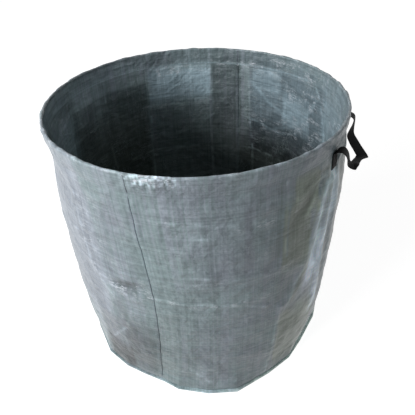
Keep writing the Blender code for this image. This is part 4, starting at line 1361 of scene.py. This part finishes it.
def strap(name, stations, material):
    """Webbing with rounded edges through a row of (middle, half width) vectors."""
    middles, halves, faces_out = strap_course(stations)
    ring_across, ring_thick = strap_section()
    lengths = np.concatenate([[0.0], np.cumsum(np.linalg.norm(np.diff(middles, axis=0), axis=1))])
    cup = STRAP_CUP * np.sin(lengths / STRAP_CUP_SIZE)[:, None]
    cup = cup * (1 - (ring_across / (WEBBING_WIDTH / 2)) ** 2)[None, :]
    offset = ring_thick[None, :] + cup * STRAP_CUP_SHARE
    points = (middles[:, None, :] + halves[:, None, :] * ring_across[None, :, None]
              + faces_out[:, None, :] * offset[..., None])
    count, ring = offset.shape
    flat = np.stack(np.broadcast_arrays(lengths[:, None], ring_across[None, :]), -1).reshape(-1, 2)
    ends = [list(range(ring)), list(range(count * ring - 1, (count - 1) * ring - 1, -1))]
    faces = grid_faces(count, ring, closed=True).reshape(-1, 4)
    data = mesh_of(name, points.reshape(-1, 3), faces, flat, caps=ends)
    turn_outwards(data)
    piece = new_piece(name, data, material)
    smooth_sheet(data, 60)
    return piece


def box_paths(tabs, end):
    """Stitch paths of a box with a cross, on the face of a sewn end."""
    azimuth = tabs[end]
    angle = math.radians(azimuth)
    across = Vector((-math.sin(angle), math.cos(angle), 0))
    out = Vector((math.cos(angle), math.sin(angle), 0))

    def place(x, y):
        height = TAB_MIDDLE + y
        radius = wall_radius(azimuth, height)
        radius += HALF_CLOTH + GAP + WEBBING + THREAD * BOX_LIFT_SHARE
        return out * radius + across * x + Vector((0, 0, height))

    wide = BOX_HALF_WIDTH
    tall = BOX_HALF_HEIGHT
    box = [(-wide, -tall), (wide, -tall), (wide, tall), (-wide, tall), (-wide, -tall)]
    paths = [[place(*corner) for corner in side] for side in zip(box, box[1:])]
    paths.append([place(-wide, -tall), place(0, 0), place(wide, tall)])
    paths.append([place(-wide, tall), place(0, 0), place(wide, -tall)])
    return paths


# Materials

# Noises of the cloth: scale, detail, roughness and distortion
CLOUDS = (9.0, 4.0, 0.6)
MOTTLE = (34.0, 4.0, 0.65, 0.6)
HUES = (7.0, 4.0, 0.65)
LEVEL_PATCHES = (15.0, 3.0, 0.6)
STEEP_PATCHES = (12.0, 3.0, 0.6)
STROKE_PATCHES = (36.0, 3.0, 0.65)

# Values between which a noise changes the hue, and lets crease marks and bright strokes show
HUE_RANGE = (0.50, 0.95)
LEVEL_RANGE = (0.48, 0.66)
STEEP_RANGE = (0.52, 0.30)
STROKE_RANGE = (0.46, 0.62)
# The least painted glint, everywhere
LEAST_PAINTED_GLINT = 0.07

# Streaks of the cloth, and fuzz of the webbing: how many to a metre along and up
TALL_STREAKS = (150.0, 7.0, 1.0)
WIDE_STREAKS = (6.0, 170.0, 1.0)
FUZZ = (900.0, 900.0, 1.0)

# Relief in the cloth's material: scale and reach of the facets' warp, scale of the soft dents, and
# depth in metres and strength of the dents, of the crease marks and of the weave
WARP = (70.0, 0.006)
DENTS = 20.0
DENT_RELIEF = (0.012, 0.7)
MARK_RELIEF = (0.0004, 1.0)
WEAVE_RELIEF = (0.00012, 0.6)

# Crumpled facets: how many to a metre along and up, their turn, and the slope of their sides
FACETS = (
    ((20.0, 34.0, 1.0), 0.15, 0.10),
    ((52.0, 80.0, 1.0), -0.30, 0.10),
    ((120.0, 190.0, 1.0), 0.40, 0.09),
)

# Pale crease marks and bright strokes: how many to a metre along and up, turn, distortion, and half width
LEVEL_MARKS = ((16.0, 95.0, 1.0), 0.0, 1.2, 0.022)
STEEP_MARKS = ((80.0, 20.0, 1.0), 0.7, 1.0, 0.020)
LEVEL_STROKES = ((11.0, 60.0, 1.0), 0.3, 1.0, 0.034)
STEEP_STROKES = ((16.0, 56.0, 1.0), -0.7, 1.0, 0.030)

# How far each pattern changes the cloth's tone, and the tone at its lowest
GRAIN = (0.36, 0.82)
STREAKINESS = (1.10, 0.45)
CLOUDINESS = (0.50, 0.75)
MOTTLING = (0.34, 0.83)

# Shares of the cloth's red, green and blue where it looks teal, lavender or brown, and blue where it is
# cool inside
HUE_SHARES = ((0.90, 1.00, 1.00), (1.005, 0.966, 1.075), (1.05, 1.06, 0.87), (0.88, 1.00, 1.10))
CREASE_PALENESS = 1.9
# Colour of the painted glints
PAINTED_GLINT_COLOUR = (0.74, 0.79, 0.86)

# Webbing: its ribs and lanes in metres, its chevron's lines to a metre, and where its worn edge starts
# and ends
RIB = 0.0016
LANE = 0.0022
CHEVRON = 900.0
WORN_EDGE = (0.0108, 0.0125)


class Finish(Graph):
    """A material, whose nodes give its surface."""

    def __init__(self, name):
        self.material = bpy.data.materials.new(name)
        self.material.use_nodes = True
        super().__init__(self.material.node_tree)

    def place(self):
        """The place on the object."""
        return self.add("ShaderNodeTexCoord")["Object"]

    def cloth_place(self):
        """The place in the flat cloth, in metres, and its parts along and up."""
        place = self.add("ShaderNodeUVMap", uv_map="cloth")["UV"]
        parts = self.add("ShaderNodeSeparateXYZ", {0: place})
        return place, parts["X"], parts["Y"]

    def surface(self, given):
        """The material, with these values for its surface."""
        for label, value in given.items():
            self.put(self.nodes["Principled BSDF"].inputs[label], value)
        return self.material


def tape_grey(graph, place, tape):
    """A random grey for each woven tape."""
    number = graph.math("FLOOR", graph.math("DIVIDE", place, tape))
    return graph.add("ShaderNodeTexWhiteNoise", {"W": number}, noise_dimensions="1D")["Value"]


def cloth_tone(graph, uv, place, grain, mottle, light):
    """How light the cloth is, from its tapes, streaks, clouds, mottling and tints."""
    streaks = graph.halfway(graph.streaks(uv, TALL_STREAKS), graph.streaks(uv, WIDE_STREAKS))
    cloud = graph.noise(place, *CLOUDS)
    tone = graph.scaled(grain, *GRAIN)
    for pattern, shares in ((streaks, STREAKINESS), (cloud, CLOUDINESS), (mottle, MOTTLING)):
        tone = graph.times(tone, graph.scaled(pattern, *shares))
    return graph.times(tone, light)


def cloth_hue(graph, colour, place, grey, warm, inner):
    """The cloth's colour before its tone: teal to lavender in places, cooler or warmer where it is tinted."""
    teal, lavender, brown, blue = (tuple(channel * share for channel, share in zip(colour, shares))
                                   for shares in HUE_SHARES)
    hue = graph.scaled(grey, 0.3, graph.noise(place, *HUES))
    tinted = graph.mix(graph.spread(hue, *HUE_RANGE), teal, lavender)
    tinted = graph.mix(graph.spread(warm, 0.0, -1.0), tinted, graph.mix(inner, lavender, blue))
    return graph.mix(graph.spread(warm, 0.0, 1.0), tinted, brown)


def crease_marks(graph, uv, place):
    """Pale lines of small creases, partly wear and partly painted highlight, broken up in patches."""
    level = graph.ridges(uv, *LEVEL_MARKS)
    steep = graph.ridges(uv, *STEEP_MARKS)
    level = graph.times(level, graph.spread(graph.noise(place, *LEVEL_PATCHES), *LEVEL_RANGE))
    steep = graph.times(steep, graph.spread(graph.noise(place, *STEEP_PATCHES), *STEEP_RANGE))
    return graph.math("MAXIMUM", level, steep)


def glint_strokes(graph, uv, place, glint):
    """Short bright strokes painted into the colour as glints: painted highlights."""
    strokes = graph.math("MAXIMUM", graph.ridges(uv, *LEVEL_STROKES), graph.ridges(uv, *STEEP_STROKES))
    strokes = graph.times(strokes, graph.spread(graph.noise(place, *STROKE_PATCHES), *STROKE_RANGE))
    return graph.times(strokes, graph.math("ADD", glint, LEAST_PAINTED_GLINT))


def cloth_relief(graph, uv, place, inner, marks, weave):
    """The cloth's small relief: crumpled facets, soft dents, crease marks and the weave."""
    normal = None
    for scale, turn, slope in FACETS:
        vector = graph.stretch(graph.warp(uv, *WARP), scale, turn)
        cells = graph.add("ShaderNodeTexVoronoi", {"Scale": 1.0, "Vector": vector},
                          feature="DISTANCE_TO_EDGE", voronoi_dimensions="2D")
        facets = graph.times(cells["Distance"], graph.scaled(inner, 0.3, 1.0))
        normal = graph.bump(facets, slope / scale[1], 1.0, normal)
    normal = graph.bump(graph.noise(place, DENTS), *DENT_RELIEF, normal)
    normal = graph.bump(marks, *MARK_RELIEF, normal)
    return graph.bump(weave, *WEAVE_RELIEF, normal)


def laminated_cloth(name, colour, tone_base):
    """Woven tapes under a clear laminate: crinkled, slightly glossy, with pale crease marks and painted
    glints.
    """
    graph = Finish(name)
    tape = bpy.context.scene.leaf_bag_sizes.tape
    uv, along, up = graph.cloth_place()
    place = graph.place()
    light, warm, glint, inner = (
        graph.add("ShaderNodeAttribute", attribute_name=label)["Fac"] for label in MARKS)
    greys = [tape_grey(graph, along, tape), tape_grey(graph, up, tape)]
    mottle = graph.noise(place, *MOTTLE)
    marks = crease_marks(graph, uv, place)
    tone = cloth_tone(graph, uv, place, graph.halfway(*greys), mottle, graph.math("ADD", light, tone_base))
    toned = graph.tint(cloth_hue(graph, colour, place, greys[0], warm, inner), tone)
    pale = tuple(min(channel * CREASE_PALENESS, 1.0) for channel in colour)
    # Pale crease marks: wear and painted highlight
    creased = graph.mix(graph.times(marks, graph.scaled(inner, 0.25, 0.30)), toned, pale)
    weave = graph.math("ABSOLUTE", graph.times(graph.wave(along, tape), graph.wave(up, tape)))
    return graph.surface({
        "Base Color": graph.mix(glint_strokes(graph, uv, place, glint), creased, PAINTED_GLINT_COLOUR),
        "Roughness": graph.scaled(mottle, -0.30, 0.52),
        "Specular IOR Level": 0.22,
        "Coat Weight": 0.14,
        "Coat Roughness": 0.18,
        "Normal": cloth_relief(graph, uv, place, inner, marks, weave),
    })


def webbing_material(name, colour):
    """Black woven webbing: ribs across the strap, a twill chevron and a slightly paler, worn edge."""
    graph = Finish(name)
    uv, along, across = graph.cloth_place()
    aside = graph.math("ABSOLUTE", across)
    chevron = graph.math("SINE", graph.math("ADD", graph.times(along, CHEVRON), graph.times(aside, CHEVRON)))
    lanes = graph.scaled(graph.wave(across, LANE), 0.3, graph.times(chevron, 0.3))
    pattern = graph.scaled(graph.wave(along, RIB), 0.5, lanes)
    fuzz = graph.streaks(uv, FUZZ)
    tone = graph.times(graph.scaled(pattern, 0.18, 1.0), graph.scaled(fuzz, 0.8, 0.6))
    tone = graph.scaled(graph.spread(aside, *WORN_EDGE), 0.5, tone)
    return graph.surface({
        "Base Color": graph.tint(colour, tone),
        "Roughness": graph.scaled(fuzz, 0.2, 0.50),
        "Specular IOR Level": 0.06,
        "Normal": graph.bump(pattern, 0.00025, 0.7),
    })


def thread_material(name, colour):
    """Twisted sewing thread."""
    graph = Finish(name)
    fibre = graph.noise(graph.place(), 2600.0, 2.0, 0.6)
    return graph.surface({
        "Base Color": graph.tint(colour, graph.scaled(fibre, 0.7, 0.65)),
        "Roughness": 0.55,
        "Normal": graph.bump(fibre, 0.0001, 0.6),
    })


def spring_steel(name, colour):
    """Drawn spring wire with fine lines and a faint oil stain."""
    graph = Finish(name)
    place = graph.place()
    stain = graph.noise(place, 60.0, 4.0, 0.6)
    lines = graph.streaks(place, (300.0, 300.0, 4000.0), 2.0, 0.5)
    return graph.surface({
        "Base Color": graph.tint(colour, graph.scaled(stain, 0.5, 0.72)),
        "Metallic": 1.0,
        "Roughness": graph.scaled(stain, 0.3, 0.22),
        "Normal": graph.bump(lines, 0.00004, 0.5),
    })


# Finishes: how each is made, which colour it has, and the tone of the plain cloth
FINISHES = {
    "laminated cloth": (laminated_cloth, "cloth", 1.0),
    "base cloth": (laminated_cloth, "cloth", 1.04),
    "black webbing": (webbing_material, "webbing"),
    "grey thread": (thread_material, "thread"),
    "black thread": (thread_material, "black_thread"),
    "spring steel": (spring_steel, "steel"),
}


def material_of(name):
    """One of the bag's materials, made when it is first asked for."""
    make, label, *tone = FINISHES[name]
    colours = bpy.context.scene.leaf_bag_colours
    return bpy.data.materials.get(name) or make(name, tuple(getattr(colours, label)), *tone)


# Operators

def fit(piece, body, slot, *nodes, squashed=False):
    """Parent a piece to its body, hide the nodes that it replaces, and give a squashed piece a mesh of its
    own. The slot is not used.
    """
    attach(piece, body)
    if squashed:
        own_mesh(piece)
    if nodes:
        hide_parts(*nodes)


class LEAFBAG_OT_walls(bpy.types.Operator):
    """Make the two wall panels, with their creases, gathers and crinkles"""

    bl_idname = "leaf_bag.walls"
    bl_label = "Wall panels"

    def execute(self, context):
        for name, first, last in PANELS:
            whole = wall_panel(f"wall_{name}", first, last, material_of("laminated cloth"),
                               context.scene.leaf_bag_sizes)
            piece, top = cut_across(whole, f"wall_{name}_top", FOLD_LINE)
            fit(piece, "base", "wall_cloth", f"wall_panel_{name}", squashed=True)
            fit(top, "rim", "wall_cloth")
        return {"FINISHED"}


class LEAFBAG_OT_hem(bpy.types.Operator):
    """Make the two halves of the casing round the hoop"""

    bl_idname = "leaf_bag.hem"
    bl_label = "Rim hem"

    def execute(self, context):
        for name, first, last in PANELS:
            piece = rim_hem(f"hem_{name}", first, last, material_of("laminated cloth"))
            fit(piece, "rim", "wall_cloth", f"rim_hem_{name}")
        return {"FINISHED"}


class LEAFBAG_OT_base(bpy.types.Operator):
    """Make the floor of the bag"""

    bl_idname = "leaf_bag.base"
    bl_label = "Base"

    def execute(self, context):
        piece = base_cloth("base_cloth", material_of("base cloth"))
        fit(piece, "base", "base_cloth", "base_panel")
        return {"FINISHED"}


def sew_hem(stitch, thread):
    """The hem's two rows of stitches, outside and inside."""
    azimuths = np.arange(0, 360, ROUND_STEP)
    climb = HEM_STITCH_RISE / (HOOP_HEIGHT - HEM_BOTTOM)
    for name, side, node in (("hem_stitches_outside", 1, "hem_needle_thread"),
                             ("hem_stitches_inside", -1, "hem_bobbin_thread")):
        low = WAIST_RADIUS + side * LAYER
        reach = low + climb * (HOOP_RADIUS + side * HEM_ARCH - low) + side * STITCH_LIFT
        path = polar_points(np.full_like(azimuths, reach), azimuths, STITCH_LINE)
        piece = stitched_paths(name, [path], True, stitch, THREAD / 2, thread)
        fit(piece, "rim", "grey_thread", node)


def sew_base(stitch, thread):
    """The row of stitches through the base's lip and the wall's foot."""
    azimuths = np.arange(0, 360, ROUND_STEP)
    path = polar_points(outline_radius(azimuths) - LIP_STITCH_INSET, azimuths, LIP_LAYER + STITCH_LIFT)
    piece = stitched_paths("base_seam_stitches", [path], True, stitch, THREAD / 2, thread)
    fit(piece, "base", "grey_thread", "base_seam_thread")


def side_seam_paths(azimuth, heights, sizes):
    """A side seam's stitches on both faces of its allowances."""
    degrees = np.full_like(heights, azimuth)
    edge = plain_radius(degrees, heights) + wall_relief(degrees, heights, sizes)
    edge += FOOT_BULGE * (1 - ease(heights, *FOOT_BULGE_END))
    beside = LAYER / 2 + STITCH_LIFT
    paths = []
    for side in (beside, -beside):
        sideways, inwards = seam_place(SIDE_STITCH_INSET, side)
        around = degrees + np.degrees(sideways / edge)
        around += seam_wander(around, heights)
        paths.append(polar_points(edge - inwards, around, heights))
    return paths


def sew_sides(sizes, thread):
    """The side seams' stitches, below the fold and above it."""
    below = np.linspace(SEAM_STITCH_START, FOLD_LINE - STITCH_ROOM, SEAM_POINTS)
    above = np.linspace(FOLD_LINE + STITCH_ROOM, HEM_BOTTOM - SEAM_STITCH_END, TOP_SEAM_POINTS)
    for name, azimuth in (("front", FRONT_SEAM), ("rear", REAR_SEAM)):
        label = f"side_seam_stitches_{name}"
        piece = stitched_paths(label, side_seam_paths(azimuth, below, sizes), False, sizes.stitch,
                               THREAD / 2, thread)
        fit(piece, "base", "grey_thread", f"side_seam_thread_{name}", squashed=True)
        piece = stitched_paths(f"{label}_top", side_seam_paths(azimuth, above, sizes), False, sizes.stitch,
                               THREAD / 2, thread)
        fit(piece, "rim", "grey_thread")


def sew_handles(thread):
    """The boxes of stitches on the handles' sewn ends."""
    radius = THREAD / 2 * BOX_THREAD_SHARE
    for handle, tabs, ends in (("right", RIGHT_TABS, ("front", "rear")),
                               ("left", LEFT_TABS, ("rear", "front"))):
        for end, where in enumerate(ends):
            piece = stitched_paths(f"{handle}_{where}_box_stitches", box_paths(tabs, end), False, BOX_STITCH,
                                   radius, thread, BOX_GAP_SHARE)
            fit(piece, "rim", "black_thread", f"{handle}_handle_{where}_stitching")


class LEAFBAG_OT_stitches(bpy.types.Operator):
    """Sew the hem, the side seams, the base seam and the handles' ends"""

    bl_idname = "leaf_bag.stitches"
    bl_label = "Stitches"

    def execute(self, context):
        sizes = context.scene.leaf_bag_sizes
        thread = material_of("grey thread")
        sew_hem(sizes.stitch, thread)
        sew_base(sizes.stitch, thread)
        sew_sides(sizes, thread)
        sew_handles(material_of("black thread"))
        return {"FINISHED"}


class LEAFBAG_OT_handles(bpy.types.Operator):
    """Make the two webbing handles, each one strap"""

    bl_idname = "leaf_bag.handles"
    bl_label = "Handles"

    def execute(self, context):
        left = list(LEFT_HALF_LOOP_SHARES)
        for out, along, down, half_out, half_along, half_down in reversed(LEFT_HALF_LOOP_SHARES[:-1]):
            left.append((out, -along, down, half_out, -half_along, half_down))
        for name, tabs, shares, reach, drop in (
            ("right_handle", RIGHT_TABS, RIGHT_LOOP_SHARES, RIGHT_REACH, RIGHT_DROP),
            ("left_handle", LEFT_TABS, left, LEFT_REACH, LEFT_DROP),
        ):
            piece = strap(f"{name}_strap", strap_stations(name, tabs, shares, reach, drop),
                          material_of("black webbing"))
            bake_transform(piece)
            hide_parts(f"{name}_front_tab", f"{name}_rear_tab", f"{name}_loop")
        return {"FINISHED"}


class LEAFBAG_OT_hoop(bpy.types.Operator):
    """Finish the hoop and its ferrule"""

    bl_idname = "leaf_bag.hoop"
    bl_label = "Hoop finish"

    def execute(self, context):
        for node in ("rim_hoop", "hoop_ferrule"):
            slots = frame["nodes"][node].data.materials
            slots.clear()
            slots.append(material_of("spring steel"))
        return {"FINISHED"}


# Stage

def seen_share(graph):
    """1 for camera, glossy and transmission rays, and 0 for the rays that light a surface."""
    path = graph.add("ShaderNodeLightPath")
    first = graph.math("MAXIMUM", path["Is Camera Ray"], path["Is Glossy Ray"])
    return graph.math("MAXIMUM", first, path["Is Transmission Ray"])


def floor_material(colour):
    """Matt and pale: it takes a shadow near the bag and glows white to the eye further off."""
    material = bpy.data.materials.new("pale floor")
    material.use_nodes = True
    graph = Graph(material.node_tree)
    graph.nodes.clear()
    place = graph.add("ShaderNodeTexCoord")["Object"]
    away = graph.add("ShaderNodeVectorMath", {0: place}, operation="LENGTH")["Value"]
    given = {"Value": away, "From Min": FLOOR_WHITENS[0], "From Max": FLOOR_WHITENS[1],
             "To Min": FLOOR_GLOW, "To Max": 1.0}
    whiteness = graph.add("ShaderNodeMapRange", given)["Result"]
    strength = graph.times(seen_share(graph), whiteness)
    matt = graph.add("ShaderNodeBsdfDiffuse", {"Color": colour})[0]
    glow = graph.add("ShaderNodeEmission", {"Strength": strength})[0]
    both = graph.add("ShaderNodeAddShader", {0: matt, 1: glow})[0]
    graph.add("ShaderNodeOutputMaterial", {"Surface": both})
    return material


def lay_floor(colour):
    """A wide level floor."""
    data = bpy.data.meshes.new("floor")
    corners = [(-1, -1), (1, -1), (1, 1), (-1, 1)]
    data.from_pydata([(x * FLOOR_REACH, y * FLOOR_REACH, 0) for x, y in corners], [], [(0, 1, 2, 3)])
    new_piece("floor", data, floor_material(colour))


def soft_sky(brightness):
    """A world that lights the bag softly and looks white itself."""
    world = bpy.data.worlds.new("soft sky")
    world.use_nodes = True
    graph = Graph(world.node_tree)
    sky = graph.nodes["Background"]
    graph.put(sky.inputs["Color"], (1, 1, 1))
    graph.put(sky.inputs["Strength"], graph.scaled(seen_share(graph), 1.0 - brightness, brightness))
    return world


def lamp(name, place, target, size, tall, power):
    """A soft lamp that is turned to a point."""
    data = bpy.data.lights.new(name, "AREA")
    data.shape = "RECTANGLE"
    data.size = size
    data.size_y = tall
    data.energy = power
    made = bpy.data.objects.new(name, data)
    bpy.context.scene.collection.objects.link(made)
    made.location = place
    made.rotation_euler = (Vector(target) - Vector(place)).to_track_quat("-Z", "Y").to_euler()


def photo_camera():
    """A camera that sees the bag as the photo does."""
    pitch, roll, pan = (math.radians(turn) for turn in CAMERA_TURN)
    ahead = Vector((math.sin(pan) * math.cos(pitch), math.cos(pan) * math.cos(pitch), -math.sin(pitch)))
    level = Vector((math.cos(pan), -math.sin(pan), 0))
    above = level.cross(ahead)
    right = level * math.cos(roll) + above * math.sin(roll)
    up = above * math.cos(roll) - level * math.sin(roll)
    view = bpy.data.cameras.new("photo camera")
    view.sensor_width = SENSOR_MILLIMETRES
    view.lens = FOCAL_PIXELS / PICTURE_PIXELS * SENSOR_MILLIMETRES
    camera = bpy.data.objects.new("photo camera", view)
    bpy.context.scene.collection.objects.link(camera)
    turned = Matrix((right, up, -ahead)).transposed()
    camera.matrix_world = Matrix.Translation(CAMERA_PLACE) @ turned.to_4x4()
    return camera


class LEAFBAG_OT_stage(bpy.types.Operator):
    """Make the floor, the lamps, the sky and the camera"""

    bl_idname = "leaf_bag.stage"
    bl_label = "Stage"

    def execute(self, context):
        scene = context.scene
        light = scene.leaf_bag_light
        lay_floor(tuple(scene.leaf_bag_colours.floor))
        scene.world = soft_sky(light.sky)
        lamp("key lamp", *KEY_LAMP, light.key)
        lamp("fill lamp", *FILL_LAMP, light.fill)
        scene.camera = photo_camera()
        scene.view_settings.view_transform = "Standard"
        return {"FINISHED"}


class LEAFBAG_PT_panel(bpy.types.Panel):
    """Lists the bag's sizes, colours and steps"""

    bl_idname = "LEAFBAG_PT_panel"
    bl_label = "Leaf Bag"
    bl_space_type = "VIEW_3D"
    bl_region_type = "UI"
    bl_category = "Leaf Bag"

    def draw(self, context):
        layout = self.layout
        scene = context.scene
        for group in (scene.leaf_bag_sizes, scene.leaf_bag_colours, scene.leaf_bag_light):
            box = layout.box()
            for name in group.__annotations__:
                box.prop(group, name)
        for step in STEPS:
            layout.operator(step.bl_idname)


STEPS = (LEAFBAG_OT_walls, LEAFBAG_OT_hem, LEAFBAG_OT_base, LEAFBAG_OT_stitches, LEAFBAG_OT_handles,
         LEAFBAG_OT_hoop, LEAFBAG_OT_stage)
GROUPS = (LeafBagSizes, LeafBagColours, LeafBagLight)


def register():
    """Add the bag's settings, steps and panel to Blender."""
    for item in GROUPS + STEPS + (LEAFBAG_PT_panel,):
        bpy.utils.register_class(item)
    bpy.types.Scene.leaf_bag_sizes = bpy.props.PointerProperty(type=LeafBagSizes)
    bpy.types.Scene.leaf_bag_colours = bpy.props.PointerProperty(type=LeafBagColours)
    bpy.types.Scene.leaf_bag_light = bpy.props.PointerProperty(type=LeafBagLight)


def unregister():
    """Take them out again."""
    del bpy.types.Scene.leaf_bag_light
    del bpy.types.Scene.leaf_bag_colours
    del bpy.types.Scene.leaf_bag_sizes
    for item in reversed(GROUPS + STEPS + (LEAFBAG_PT_panel,)):
        bpy.utils.unregister_class(item)


def main():
    """Make the bag step by step."""
    register()
    for name in ("walls", "hem", "base", "stitches", "handles", "hoop", "stage"):
        getattr(bpy.ops.leaf_bag, name)()


if __name__ == "__main__":
    main()
